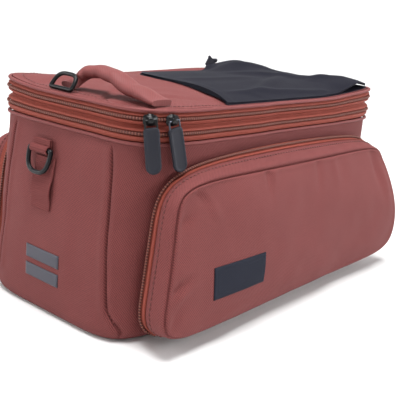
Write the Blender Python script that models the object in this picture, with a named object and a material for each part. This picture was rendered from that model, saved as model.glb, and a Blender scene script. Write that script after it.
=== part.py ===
"""Bicycle rack bag with a zipped lid, a padded handle, two side pockets and a stretch cover on the lid.

Metres, +Z up. The origin is on the floor under the middle of the bag, and -X is the bag's rear end,
which carries the ring and the light loop. The soft forms are lofts through rounded sections.
"""

import math

import bmesh
import bpy
from mathutils import Matrix, Vector

MM = 0.001

# Clearances
TOUCH_GAP = 0.3 * MM
RUN_GAP = 0.4 * MM
DOME_GAP = 0.5 * MM

# Body
BODY_HEIGHT = 165 * MM
TOP_HALF_LENGTH = 194.5 * MM
TOP_HALF_WIDTH = 98.5 * MM
LOW_HALF_LENGTH = 204 * MM
LOW_HALF_WIDTH = 96.5 * MM
BODY_WALL = 4 * MM
END_BULGE = 5 * MM
FOOT_ROUND_HEIGHT = 9 * MM
FOOT_ROUND_END = 5 * MM
FOOT_ROUND_SIDE = 9 * MM
FOOT_STEPS = 4
WALL_STEPS = (0.35, 0.65, 1.0)
PLAN_SQUARENESS = 7
PLAN_POINTS = 44
PLAN_EVENNESS = 2.4

# Zip bands that stack up from the body to the lid
BAND_WALL = 3.5 * MM
LOWER_BAND_HEIGHT = 12.5 * MM
UPPER_BAND_HEIGHT = 10 * MM
LOWER_COIL_HEIGHT = 6.5 * MM
UPPER_COIL_HEIGHT = 5.6 * MM
BAND_SWELL = 1.6 * MM
BAND_GROOVE = 1.6 * MM
COIL_RADIUS = 1.4 * MM
COIL_CHANNEL_DEPTH = 1.7 * MM
COIL_CHANNEL_SLOPE = 0.5 * MM
PIPING_RADIUS = 1.6 * MM
PIPING_PROUD = 0.8 * MM

# Lid
LID_WALL = 3 * MM
LID_DOME = 6 * MM
LID_DOME_POWER = 2.4
LID_RINGS = (1.0, 0.93, 0.8, 0.6, 0.35)

# The soft lid and its bands stand higher at two corners
FRONT_LIFT = 6 * MM
FRONT_LIFT_X = (50 * MM, 185 * MM)
FRONT_LIFT_Y = (30 * MM, -90 * MM)
REAR_LIFT = 4 * MM
REAR_LIFT_X = (-110 * MM, -185 * MM)
REAR_LIFT_Y = (25 * MM, 90 * MM)

# Stretch cover on the lid
COVER_WALL = 1.5 * MM
COVER_MARGIN = 3.5 * MM
COVER_RISE = 15 * MM
COVER_LIFT_GAP_SHARE = 0.15
COVER_SEAM_MIDDLE = -60 * MM
COVER_SEAM_EDGE = -96 * MM
COVER_FAR_MARGIN = 4 * MM
COVER_TAB_WIDTH = 15 * MM
COVER_TAB_HEIGHT = 16 * MM
COVER_TAB_WALL = 1.4 * MM
COVER_TAB_X = 112 * MM
COVER_TAB_LEAN = math.radians(35)
COVER_TAB_SHOULDER = 0.8

# Handle
HANDLE_START_X = -181 * MM
HANDLE_START_Y = 8 * MM
HANDLE_START_PULL_X = -158 * MM
HANDLE_START_PULL_Y = 8 * MM
HANDLE_END_PULL_X = -168 * MM
HANDLE_END_PULL_Y = -40 * MM
HANDLE_END_X = -168 * MM
HANDLE_END_Y = -86 * MM
HANDLE_RISE = 10 * MM
HANDLE_WIDTH = 21 * MM
HANDLE_REAR_FOOT_WIDTH = 21.5 * MM
HANDLE_SIDE_FOOT_WIDTH = 22 * MM
HANDLE_THICKNESS = 11 * MM
HANDLE_FOOT_THICKNESS = 5 * MM
HANDLE_STEPS = 14
HANDLE_SIDES = 10
HANDLE_SQUARENESS = 0.6
HANDLE_FOOT_SHARE = 0.22

# Ring that holds the handle's rear foot
HANDLE_RING_WIDTH = 31 * MM
HANDLE_RING_HEIGHT = 14 * MM
HANDLE_RING_RADIUS = 1.8 * MM
HANDLE_RING_LEAN = math.radians(55)
HANDLE_RING_BEHIND = 9 * MM
HANDLE_RING_CORNER = 0.6
RING_STEPS = 12

# Webbing and ring on the rear end
RING_BELOW_SEAM = 20 * MM
RING_Y = 17 * MM
RING_WIDTH = 28 * MM
RING_DROP = 20 * MM
RING_RADIUS = 2 * MM
RING_TILT = math.radians(12)
RING_CORNER = 0.7
RING_TAB_WIDTH = 22 * MM
RING_TAB_WALL = 1.2 * MM
RING_TAB_TAIL = 9 * MM
RING_TAB_FOLD = (math.radians(20), math.radians(-290))
RING_TAB_STEPS = 10
LOOP_Y = 12 * MM
LOOP_WIDTH = 25 * MM
LOOP_WALL = 1.6 * MM
LOOP_BELOW_RING = 6 * MM
LOOP_LENGTH = 45 * MM
LOOP_STANDOFF = 5 * MM
LOOP_SEWN = 8 * MM
LOOP_SLOPE = 4 * MM
LOOP_GAP_HEIGHT = 12 * MM

# Side pockets, mirrored across the bag
POCKET_WALL = 2 * MM
POCKET_SQUARENESS_HIGH = 5
POCKET_SQUARENESS_LOW = 8
POCKET_POINTS = 40
POCKET_BACK_HALF_LOW = 182 * MM
POCKET_BACK_HALF_HIGH = 172 * MM
POCKET_FACE_HALF_LOW = 198 * MM
POCKET_FACE_HALF_HIGH = 176 * MM
POCKET_LOW = 4.5 * MM
POCKET_BELOW_SEAM = 18 * MM
POCKET_ARCH = 8 * MM
POCKET_FACE_LOW = 14 * MM
POCKET_FACE_DROP = 7 * MM
POCKET_DEPTH_HIGH = 22 * MM
POCKET_DEPTH_LOW = 35 * MM
POCKET_DEPTH_POWER = 1.6
POCKET_CROWN = 8 * MM
POCKET_CROWN_POWER = 2.2
POCKET_SWELL = 3.5 * MM
POCKET_FRONT_DEPTH = 10 * MM
POCKET_FRONT_REACH = 8 * MM
POCKET_FRONT_X = (40 * MM, 190 * MM)
POCKET_FRONT_DROP = 22 * MM
POCKET_GUSSET_RINGS = (0, 0.5, 1)
POCKET_FACE_RINGS = (0.88, 0.62, 0.3)
POCKET_TAPE_SHARES = (0.06, 0.44)
POCKET_COIL_SHARE = 0.27
POCKET_TAPE_WALL = 1.2 * MM
POCKET_COIL_RADIUS = 1.3 * MM
POCKET_ZIP_FIRST = -5
POCKET_ZIP_LAST = 25

# Zip sliders and pulls
SLIDER_LENGTH = 11 * MM
SLIDER_WIDTH = 8 * MM
SLIDER_PLATE = 2.4 * MM
BRIDGE_LENGTH = 4 * MM
BRIDGE_WALL = 1.2 * MM
BRIDGE_SINK = 0.4 * MM
LINK_RADIUS = 0.8 * MM
LINK_WIDTH = 9.4 * MM
LINK_DROP = 11 * MM
PULL_WIDTH = 12.5 * MM
PULL_LENGTH = 37 * MM
PULL_WALL = 3.4 * MM
PULL_OVERLAP = 3 * MM
POCKET_SLIDER_TURN = math.radians(9)

# Reflective patches and the side label
PATCH_WALL = 0.8 * MM
REAR_PATCH_Y = 6 * MM
REAR_PATCH_Z = 44 * MM
REAR_PATCH_WIDTH = 44 * MM
REAR_PATCH_HEIGHT = 12 * MM
REAR_PATCH_STEP = 17 * MM
REAR_PATCH_COUNT = 2
LABEL_X = -104 * MM
LABEL_Z = 55 * MM
LABEL_WIDTH = 70 * MM
LABEL_HEIGHT = 28 * MM
PATCH_COLUMNS = 7
PATCH_ROWS = 3

# Heights and offsets that follow from the sizes above
RING_Z = BODY_HEIGHT - RING_BELOW_SEAM
LOOP_HIGH = RING_Z - LOOP_BELOW_RING
LOOP_LOW = LOOP_HIGH - LOOP_LENGTH
POCKET_HIGH = BODY_HEIGHT - POCKET_BELOW_SEAM
POCKET_FACE_HIGH = POCKET_HIGH - POCKET_FACE_DROP
POCKET_FRONT_HEIGHT = POCKET_HIGH - POCKET_FRONT_DROP
BODY_PIPING_Z = BODY_HEIGHT + TOUCH_GAP + PIPING_RADIUS
LOWER_BAND_Z = BODY_PIPING_Z + PIPING_RADIUS + TOUCH_GAP
UPPER_BAND_Z = LOWER_BAND_Z + LOWER_BAND_HEIGHT + TOUCH_GAP
LID_Z = UPPER_BAND_Z + UPPER_BAND_HEIGHT + TOUCH_GAP
LID_EDGE_Z = LID_Z + LID_WALL
RIM_PIPING_Z = LID_Z + PIPING_RADIUS
LID_INSET = PIPING_RADIUS + TOUCH_GAP - PIPING_PROUD
LID_HALF_LENGTH = TOP_HALF_LENGTH - LID_INSET
LID_HALF_WIDTH = TOP_HALF_WIDTH - LID_INSET
COIL_OFFSET = BAND_SWELL - COIL_CHANNEL_DEPTH + TOUCH_GAP + COIL_RADIUS
LID_COIL_Z = UPPER_BAND_Z + UPPER_COIL_HEIGHT
LINK_HEIGHT = SLIDER_PLATE + TOUCH_GAP + LINK_RADIUS
BRIDGE_HEIGHT = LINK_HEIGHT + LINK_RADIUS + TOUCH_GAP
BRIDGE_HALF = LINK_RADIUS + 3 * RUN_GAP

# Colour, roughness and metallic value of each material
RUST = ("rust_nylon", (0.28, 0.10, 0.095), 0.85, 0.0)
ORANGE = ("zip_tape", (0.36, 0.10, 0.055), 0.7, 0.0)
DARK = ("stretch_cloth", (0.045, 0.045, 0.062), 0.8, 0.0)
BLACK = ("black_metal", (0.02, 0.02, 0.024), 0.4, 0.6)
SLATE = ("slate_rubber", (0.055, 0.062, 0.085), 0.55, 0.0)
STEEL = ("grey_metal", (0.35, 0.36, 0.4), 0.35, 1.0)

# Name, place round the bag, lean and link material of each zip pull on the lid
LID_PULLS = (
    ("rear_pull", math.radians(219), math.radians(8), BLACK),
    ("side_pull", math.radians(236), math.radians(15), STEEL),
)

# Rise of the stretch cover over the lid, as shares of COVER_RISE.
# Rows run from the curved seam to the far hem, columns from the -Y edge to the +Y edge.
COVER_ROWS = (0.0, 0.2, 0.45, 0.68, 0.86, 1.0)
COVER_COLUMNS = (-1.0, -0.7, -0.3, 0.1, 0.5, 0.82, 1.0)
COVER_TABLE = (
    (0.00, 0.00, 0.00, 0.00, 0.00, 0.00, 0.00),
    (0.00, 0.03, 0.06, 0.06, 0.06, 0.05, 0.00),
    (0.00, 0.10, 0.14, 0.16, 0.20, 0.20, 0.02),
    (0.00, 0.14, 0.22, 0.38, 0.76, 1.00, 0.30),
    (0.44, 0.42, 0.26, 0.32, 0.58, 0.78, 0.28),
    (0.34, 0.36, 0.20, 0.18, 0.28, 0.36, 0.04),
)
COVER_STEPS_LONG = 12
COVER_STEPS_WIDE = 12

# Height of the handle's centre line as a share of HANDLE_RISE, against its share of the way along
HANDLE_ARCH = (
    (0.0, 0.0),
    (0.1, 0.12),
    (0.3, 0.86),
    (0.44, 1.0),
    (0.58, 0.8),
    (0.78, 0.04),
    (1.0, 0.0),
)

# Share of a turn or a path over which a direction is measured
NEARBY = 0.02


def blend(start, end, share):
    return start + (end - start) * share


def ease(share):
    """Goes from 0 to 1 with level ends."""
    return share * share * (3 - 2 * share)


def table_value(rows, share):
    """Reads a table of (share, value) rows with eased steps between them."""
    for (low, low_value), (high, high_value) in zip(rows, rows[1:]):
        if share <= high:
            return blend(low_value, high_value, ease((share - low) / (high - low)))
    return rows[-1][1]


def ramp(value, ends):
    """Goes from 0 at the first end to 1 at the second, with level ends."""
    return ease(min(max((value - ends[0]) / (ends[1] - ends[0]), 0), 1))


def signed_power(value, power):
    return math.copysign(abs(value) ** power, value)


def material(settings):
    name, colour, roughness, metallic = settings
    found = bpy.data.materials.get(name)
    if found:
        return found
    made = bpy.data.materials.new(name)
    made.use_nodes = True
    shader = made.node_tree.nodes["Principled BSDF"]
    shader.inputs["Base Color"].default_value = (*colour, 1)
    shader.inputs["Roughness"].default_value = roughness
    shader.inputs["Metallic"].default_value = metallic
    made.diffuse_color = (*colour, 1)
    return made


def new_collection(name):
    made = bpy.data.collections.new(name)
    bpy.context.scene.collection.children.link(made)
    return made


def add_object(name, mesh, look, place=None, parent=None):
    """Adds a mesh object to the bag's collection, in world space or under an empty."""
    mesh.materials.append(material(look))
    part = bpy.data.objects.new(name, mesh)
    bpy.data.collections["rack_bag"].objects.link(part)
    part.matrix_world = place or Matrix()
    if parent:
        part.parent = parent
        part.matrix_parent_inverse = parent.matrix_world.inverted()
    return part


def finish_mesh(shape, name, smooth=True):
    """Turns every face outward and returns the mesh."""
    bmesh.ops.recalc_face_normals(shape, faces=shape.faces)
    mesh = bpy.data.meshes.new(name)
    shape.to_mesh(mesh)
    shape.free()
    if smooth:
        mesh.shade_smooth()
        mesh.set_sharp_from_angle(angle=math.radians(40))
    return mesh


def loft(name, rings, cyclic=False):
    """A closed mesh through rings of equally many points, capped at both ends or joined into a hoop."""
    shape = bmesh.new()
    rows = [[shape.verts.new(point) for point in ring] for ring in rings]
    pairs = list(zip(rows, rows[1:]))
    if cyclic:
        pairs.append((rows[-1], rows[0]))
    for lower, upper in pairs:
        for index in range(len(lower)):
            after = (index + 1) % len(lower)
            shape.faces.new((lower[index], lower[after], upper[after], upper[index]))
    if not cyclic:
        shape.faces.new(rows[0])
        shape.faces.new(rows[-1])
    return finish_mesh(shape, name)


def prism(name, outline, depth):
    """An outline of (x, z) points, as deep as depth along Y, centred on the plane y = 0."""
    shape = bmesh.new()
    face = shape.faces.new([shape.verts.new((x, -depth / 2, z)) for x, z in outline])
    side = bmesh.ops.extrude_face_region(shape, geom=[face])["geom"]
    moved = [item for item in side if isinstance(item, bmesh.types.BMVert)]
    bmesh.ops.translate(shape, verts=moved, vec=(0, depth, 0))
    return finish_mesh(shape, name, smooth=False)


def strip_outline(path, thickness):
    """The outline of a flat strip that follows a path of (x, z) points and lies on its left."""
    outer = []
    for index, point in enumerate(path):
        before = Vector(path[max(index - 1, 0)])
        after = Vector(path[min(index + 1, len(path) - 1)])
        along = (after - before).normalized()
        outer.append((point[0] - along.y * thickness, point[1] + along.x * thickness))
    return list(path) + outer[::-1]


def tube_mesh(name, points, radius, cyclic=True):
    """A wire through the points, made from a bevelled curve and turned into a mesh with welded ends."""
    curve = bpy.data.curves.new(name, "CURVE")
    curve.dimensions = "3D"
    curve.bevel_depth = radius
    curve.bevel_resolution = 1
    curve.use_fill_caps = True
    spline = curve.splines.new("POLY")
    spline.points.add(len(points) - 1)
    for target, point in zip(spline.points, points):
        target.co = (*point, 1)
    spline.use_cyclic_u = cyclic
    guide = bpy.data.objects.new(name + "_guide", curve)
    bpy.context.scene.collection.objects.link(guide)
    bpy.context.view_layer.update()
    mesh = bpy.data.meshes.new_from_object(guide.evaluated_get(bpy.context.evaluated_depsgraph_get()))
    bpy.data.objects.remove(guide)
    shape = bmesh.new()
    shape.from_mesh(mesh)
    bmesh.ops.remove_doubles(shape, verts=shape.verts, dist=TOUCH_GAP / 30)
    bpy.data.meshes.remove(mesh)
    return finish_mesh(shape, name)


def boolean(target, tool, operation):
    """Joins or cuts with a hidden tool object that stays in the cutters' collection."""
    bpy.data.collections["rack_bag"].objects.unlink(tool)
    bpy.data.collections["cutters"].objects.link(tool)
    tool.hide_render = True
    tool.display_type = "WIRE"
    step = target.modifiers.new(operation.lower(), "BOOLEAN")
    step.operation = operation
    step.solver = "EXACT"
    step.object = tool


def ring_bow(points_flat, drop, half_width, corner):
    """Points of a D-shaped ring: a straight bar along Y at z = 0 and a bow that hangs below it."""
    points = [(0, half_width, 0)]
    for index in range(points_flat + 1):
        turn = math.pi * index / points_flat
        y = half_width * signed_power(math.cos(turn), corner)
        z = -drop * abs(math.sin(turn)) ** corner
        points.append((0, y, z))
    return points[1:]


def lid_lift(x, y, height):
    """How far the soft bands and lid stand above their level height at this place."""
    stretch = min(max((height - BODY_HEIGHT) / (LID_EDGE_Z - BODY_HEIGHT), 0), 1)
    front = FRONT_LIFT * ramp(x, FRONT_LIFT_X) * ramp(y, FRONT_LIFT_Y)
    rear = REAR_LIFT * ramp(x, REAR_LIFT_X) * ramp(y, REAR_LIFT_Y)
    return stretch * (front + rear)


def plan_ring(half_length, half_width, height, bulge=0.0):
    """A rounded-rectangle section of the bag, with its ends bowed outward by bulge."""
    ring = []
    for index in range(PLAN_POINTS):
        even = math.tau * index / PLAN_POINTS
        spread_y = signed_power(math.sin(even), PLAN_EVENNESS)
        spread_x = signed_power(math.cos(even), PLAN_EVENNESS)
        turn = math.atan2(spread_y, spread_x)
        side = signed_power(math.cos(turn), 2 / PLAN_SQUARENESS)
        wide = signed_power(math.sin(turn), 2 / PLAN_SQUARENESS)
        bow = bulge * (1 - wide * wide) * signed_power(side, PLAN_SQUARENESS)
        x = half_length * side + bow
        y = half_width * wide
        ring.append((x, y, height + lid_lift(x, y, height)))
    return ring


def body_size(height):
    """Half length, half width and end bulge of the body above its rounded foot."""
    share = height / BODY_HEIGHT
    bulge = END_BULGE * math.sin(math.pi * min(max(share, 0), 1))
    return (
        blend(LOW_HALF_LENGTH, TOP_HALF_LENGTH, share),
        blend(LOW_HALF_WIDTH, TOP_HALF_WIDTH, share),
        bulge,
    )


def body_rings(inset, floor):
    """Sections of the body's outer or inner side, from the floor to the top."""
    rings = []
    for step in range(FOOT_STEPS + 1):
        turn = math.pi / 2 * step / FOOT_STEPS
        height = floor + (FOOT_ROUND_HEIGHT - floor) * (1 - math.cos(turn))
        length, width, bulge = body_size(height)
        pull = 1 - math.sin(turn)
        half_length = length - inset - FOOT_ROUND_END * pull
        half_width = width - inset - FOOT_ROUND_SIDE * pull
        rings.append(plan_ring(half_length, half_width, height, bulge))
    for share in WALL_STEPS:
        height = blend(FOOT_ROUND_HEIGHT, BODY_HEIGHT, share)
        length, width, bulge = body_size(height)
        rings.append(plan_ring(length - inset, width - inset, height, bulge))
    return rings


def side_wall_y(x, height):
    """How far the body's long wall stands from the middle plane at this place."""
    length, width, _ = body_size(height)
    share = min(abs(x) / length, 0.999)
    return width * (1 - share**PLAN_SQUARENESS) ** (1 / PLAN_SQUARENESS)


def end_wall_x(y, height):
    """How far the body's end wall stands from the middle at this place."""
    length, width, bulge = body_size(height)
    share = min(abs(y) / width, 0.999)
    return length * (1 - share**PLAN_SQUARENESS) ** (1 / PLAN_SQUARENESS) + bulge * (1 - share * share)


def lid_top(x, y):
    """Height of the lid's outer side."""
    ratio = abs(x / LID_HALF_LENGTH) ** PLAN_SQUARENESS + abs(y / LID_HALF_WIDTH) ** PLAN_SQUARENESS
    share = max(min(ratio ** (1 / PLAN_SQUARENESS), 1), LID_RINGS[-1])
    height = LID_EDGE_Z + LID_DOME * (1 - share**LID_DOME_POWER)
    return height + lid_lift(x, y, height)


def make_body():
    outer = body_rings(0, 0)
    inner = body_rings(BODY_WALL, BODY_WALL)
    add_object("body_shell", loft("body_shell", outer + inner[::-1]), RUST)


def make_hoop(name, profile, look):
    """A band or cord right round the bag, from a closed profile of (offset, height) points."""
    rings = []
    for offset, height in profile:
        rings.append(plan_ring(TOP_HALF_LENGTH + offset, TOP_HALF_WIDTH + offset, height))
    add_object(name, loft(name, rings, cyclic=True), look)


def round_profile(offset, height, radius, sides=5):
    turns = [math.tau * (index + 0.5) / sides for index in range(sides)]
    return [(offset + radius * math.cos(turn), height + radius * math.sin(turn)) for turn in turns]


def band_profile(low, high, coil, low_offset, high_offset):
    """A fabric band with a channel for its coil, pulled in at the groove between the two bands."""
    slot = COIL_RADIUS + TOUCH_GAP
    mouth = slot + COIL_CHANNEL_SLOPE
    bottom = BAND_SWELL - COIL_CHANNEL_DEPTH
    return [
        (low_offset, low),
        (BAND_SWELL, coil - mouth),
        (bottom, coil - slot),
        (bottom, coil + slot),
        (BAND_SWELL, coil + mouth),
        (high_offset, high),
        (high_offset - BAND_WALL, high),
        (low_offset - BAND_WALL, low),
    ]


def make_bands():
    lower_top = LOWER_BAND_Z + LOWER_BAND_HEIGHT
    lower_coil = LOWER_BAND_Z + LOWER_COIL_HEIGHT
    upper_top = UPPER_BAND_Z + UPPER_BAND_HEIGHT
    make_hoop("body_piping", round_profile(PIPING_PROUD, BODY_PIPING_Z, PIPING_RADIUS), RUST)
    lower_band = band_profile(LOWER_BAND_Z, lower_top, lower_coil, 0, -BAND_GROOVE)
    upper_band = band_profile(UPPER_BAND_Z, upper_top, LID_COIL_Z, -BAND_GROOVE, 0)
    make_hoop("lower_zip_band", lower_band, ORANGE)
    make_hoop("lower_zip_coil", round_profile(COIL_OFFSET, lower_coil, COIL_RADIUS), ORANGE)
    make_hoop("upper_zip_band", upper_band, ORANGE)
    make_hoop("upper_zip_coil", round_profile(COIL_OFFSET, LID_COIL_Z, COIL_RADIUS), ORANGE)
    make_hoop("rim_piping", round_profile(PIPING_PROUD, RIM_PIPING_Z, PIPING_RADIUS), RUST)


def make_lid():
    rings = []
    for drop in (0, LID_WALL):
        side = []
        for share in LID_RINGS:
            height = LID_EDGE_Z - drop + LID_DOME * (1 - share**LID_DOME_POWER)
            side.append(plan_ring(LID_HALF_LENGTH * share, LID_HALF_WIDTH * share, height))
        rings = rings + side if drop else side[::-1]
    add_object("lid_panel", loft("lid_panel", rings), RUST)


def cover_share(along, across):
    """Rise of the stretch cover as a share, read from the table with eased steps."""
    columns = []
    for column in range(len(COVER_COLUMNS)):
        rows = [(share, line[column]) for share, line in zip(COVER_ROWS, COVER_TABLE)]
        columns.append((COVER_COLUMNS[column], table_value(rows, along)))
    return table_value(columns, across)


def cover_place(along, across):
    """Plan position on the cover: along from its curved seam to the far hem, across from -1 to 1."""
    seam = blend(COVER_SEAM_MIDDLE, COVER_SEAM_EDGE, across * across)
    end = LID_HALF_LENGTH - COVER_MARGIN - COVER_FAR_MARGIN
    x = blend(seam, end, along)
    length = LID_HALF_LENGTH - COVER_MARGIN
    share = min(abs(x) / length, 1)
    width = (LID_HALF_WIDTH - COVER_MARGIN) * (1 - share**PLAN_SQUARENESS) ** (1 / PLAN_SQUARENESS)
    return x, width * across


def make_cover():
    shape = bmesh.new()
    sides = []
    for lift in (0, COVER_WALL):
        rows = []
        for step in range(COVER_STEPS_LONG + 1):
            line = []
            for stop in range(COVER_STEPS_WIDE + 1):
                along = step / COVER_STEPS_LONG
                across = math.sin(math.pi * (stop / COVER_STEPS_WIDE - 0.5))
                x, y = cover_place(along, across)
                rise = COVER_RISE * cover_share(along, across)
                slack = COVER_LIFT_GAP_SHARE * lid_lift(x, y, LID_EDGE_Z)
                height = lid_top(x, y) + TOUCH_GAP + slack + rise + lift
                line.append(shape.verts.new((x, y, height)))
            rows.append(line)
        sides.append(rows)
    for rows in sides:
        for first, second in zip(rows, rows[1:]):
            for index in range(COVER_STEPS_WIDE):
                shape.faces.new((first[index], first[index + 1], second[index + 1], second[index]))
    edges = []
    for rows in sides:
        right = [line[-1] for line in rows[1:]]
        left = [line[0] for line in rows[-2:0:-1]]
        edges.append(rows[0] + right + rows[-1][-2::-1] + left)
    for index in range(len(edges[0])):
        after = (index + 1) % len(edges[0])
        shape.faces.new((edges[0][index], edges[0][after], edges[1][after], edges[1][index]))
    add_object("lid_cover", finish_mesh(shape, "lid_cover"), DARK)


def make_cover_tab():
    """A doubled end of webbing that stands at the far rim beside the cover."""
    y = LID_HALF_WIDTH - COVER_MARGIN + TOUCH_GAP + COVER_TAB_WALL / 2
    base = max(lid_top(COVER_TAB_X - COVER_TAB_WIDTH / 2, y), lid_top(COVER_TAB_X, y)) + TOUCH_GAP
    shift = COVER_TAB_HEIGHT * math.tan(COVER_TAB_LEAN)
    outline = [
        (0, 0),
        (COVER_TAB_WIDTH, 0),
        (COVER_TAB_WIDTH + shift, COVER_TAB_HEIGHT * COVER_TAB_SHOULDER),
        (COVER_TAB_WIDTH * COVER_TAB_SHOULDER + shift, COVER_TAB_HEIGHT),
        (shift, COVER_TAB_HEIGHT),
    ]
    mesh = prism("cover_tab", outline, COVER_TAB_WALL)
    add_object("cover_tab", mesh, DARK, Matrix.Translation((COVER_TAB_X - COVER_TAB_WIDTH / 2, y, base)))


def handle_plan(share):
    """Point of the handle's path seen from above, on a smooth bend from rear foot to side foot."""
    weights = ((1 - share) ** 3, 3 * share * (1 - share) ** 2, 3 * share**2 * (1 - share), share**3)
    across = (HANDLE_START_X, HANDLE_START_PULL_X, HANDLE_END_PULL_X, HANDLE_END_X)
    aside = (HANDLE_START_Y, HANDLE_START_PULL_Y, HANDLE_END_PULL_Y, HANDLE_END_Y)
    x = sum(weight * pull for weight, pull in zip(weights, across))
    y = sum(weight * pull for weight, pull in zip(weights, aside))
    return Vector((x, y))


def handle_centre(share):
    place = handle_plan(share)
    thickness = handle_section(share)[1]
    foot = lid_top(place.x + HANDLE_WIDTH / 2, place.y) + DOME_GAP + thickness / 2
    return Vector((place.x, place.y, foot + HANDLE_RISE * table_value(HANDLE_ARCH, share)))


def handle_section(share):
    """Width and thickness: flat and wide at the feet, round and padded between them."""
    padded = ease(min(min(share, 1 - share) / HANDLE_FOOT_SHARE, 1))
    foot = HANDLE_REAR_FOOT_WIDTH if share < 0.5 else HANDLE_SIDE_FOOT_WIDTH
    return (
        blend(foot, HANDLE_WIDTH, padded),
        blend(HANDLE_FOOT_THICKNESS, HANDLE_THICKNESS, padded),
    )


def make_handle():
    rings = []
    for step in range(HANDLE_STEPS + 1):
        share = step / HANDLE_STEPS
        before = handle_centre(max(share - NEARBY, 0))
        after = handle_centre(min(share + NEARBY, 1))
        along = (after - before).normalized()
        if step in (0, HANDLE_STEPS):
            along = Vector((along.x, along.y, 0)).normalized()
        across = along.cross(Vector((0, 0, 1))).normalized()
        rise = across.cross(along)
        width, thickness = handle_section(share)
        ring = []
        for index in range(HANDLE_SIDES):
            turn = math.tau * index / HANDLE_SIDES
            wide = width / 2 * signed_power(math.cos(turn), HANDLE_SQUARENESS)
            tall = thickness / 2 * signed_power(math.sin(turn), HANDLE_SQUARENESS)
            ring.append(handle_centre(share) + across * wide + rise * tall)
        rings.append(ring)
    add_object("handle", loft("handle", rings), RUST)


def make_handle_ring():
    """A black ring over the handle's rear foot: its bar lies on the lid behind the foot."""
    start = handle_plan(0)
    heading = (handle_plan(NEARBY) - start).normalized()
    place = start - heading * HANDLE_RING_BEHIND
    ends = [place + Vector((-heading.y, heading.x)) * (side * HANDLE_RING_WIDTH / 2) for side in (-1, 1)]
    bar = max([lid_top(place.x, place.y)] + [lid_top(end.x, end.y) for end in ends])
    centre = Vector((place.x, place.y, bar + TOUCH_GAP + HANDLE_RING_RADIUS))
    half_width = HANDLE_RING_WIDTH / 2 - HANDLE_RING_RADIUS
    points = ring_bow(RING_STEPS, HANDLE_RING_HEIGHT, half_width, HANDLE_RING_CORNER)
    mesh = tube_mesh("handle_ring", points, HANDLE_RING_RADIUS)
    aim = Matrix.Rotation(math.atan2(heading.y, heading.x), 4, "Z")
    lean = Matrix.Rotation(-(math.pi / 2 + HANDLE_RING_LEAN), 4, "Y")
    add_object("handle_ring", mesh, BLACK, Matrix.Translation(centre) @ aim @ lean)


def make_rear_ring():
    """The ring, its folded tab and the empty on the bar's axis that the ring turns about."""
    hole = RING_RADIUS + RUN_GAP
    outer = hole + RING_TAB_WALL
    wall = max(end_wall_x(RING_Y + side * RING_TAB_WIDTH / 2, RING_Z - outer) for side in (-1, 0, 1))
    axis = Vector((-(wall + TOUCH_GAP + outer), RING_Y, RING_Z))
    path = [(hole, RING_TAB_TAIL)]
    for step in range(RING_TAB_STEPS + 1):
        turn = blend(*RING_TAB_FOLD, step / RING_TAB_STEPS)
        path.append((hole * math.cos(turn), hole * math.sin(turn)))
    path.append((hole - TOUCH_GAP - RING_TAB_WALL, RING_TAB_TAIL))
    outline = strip_outline(path, RING_TAB_WALL)
    mesh = prism("ring_tab", outline, RING_TAB_WIDTH)
    add_object("ring_tab", mesh, RUST, Matrix.Translation(axis))

    hinge = bpy.data.objects.new("rear_ring_hinge", None)
    bpy.data.collections["rack_bag"].objects.link(hinge)
    hinge.location = axis
    bpy.context.view_layer.update()
    points = ring_bow(RING_STEPS, RING_DROP, RING_WIDTH / 2, RING_CORNER)
    place = Matrix.Translation(axis) @ Matrix.Rotation(RING_TILT, 4, "Y")
    add_object("rear_ring", tube_mesh("rear_ring", points, RING_RADIUS), BLACK, place, hinge)


def make_light_loop():
    """A strap sewn flat at both ends that stands off the rear wall between them."""
    levels = [
        (LOOP_LOW, 0),
        (LOOP_LOW + LOOP_SEWN, 0),
        (LOOP_LOW + LOOP_SEWN + LOOP_SLOPE, LOOP_STANDOFF),
        (LOOP_LOW + LOOP_SEWN + LOOP_SLOPE + LOOP_GAP_HEIGHT, LOOP_STANDOFF),
        (LOOP_LOW + LOOP_SEWN + 2 * LOOP_SLOPE + LOOP_GAP_HEIGHT, 0),
        (LOOP_HIGH, 0),
    ]
    path = [(-(end_wall_x(0, height) + TOUCH_GAP + away), height) for height, away in levels]
    mesh = prism("light_loop", strip_outline(path, LOOP_WALL), LOOP_WIDTH)
    add_object("light_loop", mesh, RUST, Matrix.Translation((0, LOOP_Y, 0)))


def front_fill(x, z):
    """How much the pocket's fuller front end swells at this place, from 0 to 1."""
    level = min(max(z / POCKET_FRONT_HEIGHT, 0), 1)
    return ramp(x, POCKET_FRONT_X) * math.sin(math.pi * level)


def pocket_flat(turn, share, inset=0.0):
    """Outline of a pocket seen from its side as (x, z): share 0 is on the body, 1 at the face's edge."""
    squareness = POCKET_SQUARENESS_HIGH if math.sin(turn) > 0 else POCKET_SQUARENESS_LOW
    across = signed_power(math.cos(turn), 2 / squareness)
    upward = signed_power(math.sin(turn), 2 / squareness)
    level = (upward + 1) / 2
    low = blend(POCKET_BACK_HALF_LOW, POCKET_FACE_HALF_LOW, share)
    high = blend(POCKET_BACK_HALF_HIGH, POCKET_FACE_HALF_HIGH, share)
    x = blend(low, high, level) * across
    arch = POCKET_ARCH * (1 - share) * (1 - across * across)
    top = blend(POCKET_HIGH, POCKET_FACE_HIGH, share) + arch
    z = blend(blend(POCKET_LOW, POCKET_FACE_LOW, share), top, level)
    x += POCKET_FRONT_REACH * share * front_fill(x, z)
    swell = POCKET_SWELL * math.sin(math.pi * share) - inset
    middle = Vector((0, (POCKET_LOW + POCKET_HIGH) / 2))
    away = Vector((math.cos(turn), math.sin(turn)))
    point = Vector((x, z)) + away * swell
    return point, middle


def pocket_edge_depth(x, z):
    """How far the pocket stands out from the body's foot at this place."""
    share = min(max(z / POCKET_FACE_HIGH, 0), 1)
    depth = blend(POCKET_DEPTH_LOW, POCKET_DEPTH_HIGH, share**POCKET_DEPTH_POWER)
    return depth + POCKET_FRONT_DEPTH * front_fill(x, z)


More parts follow.
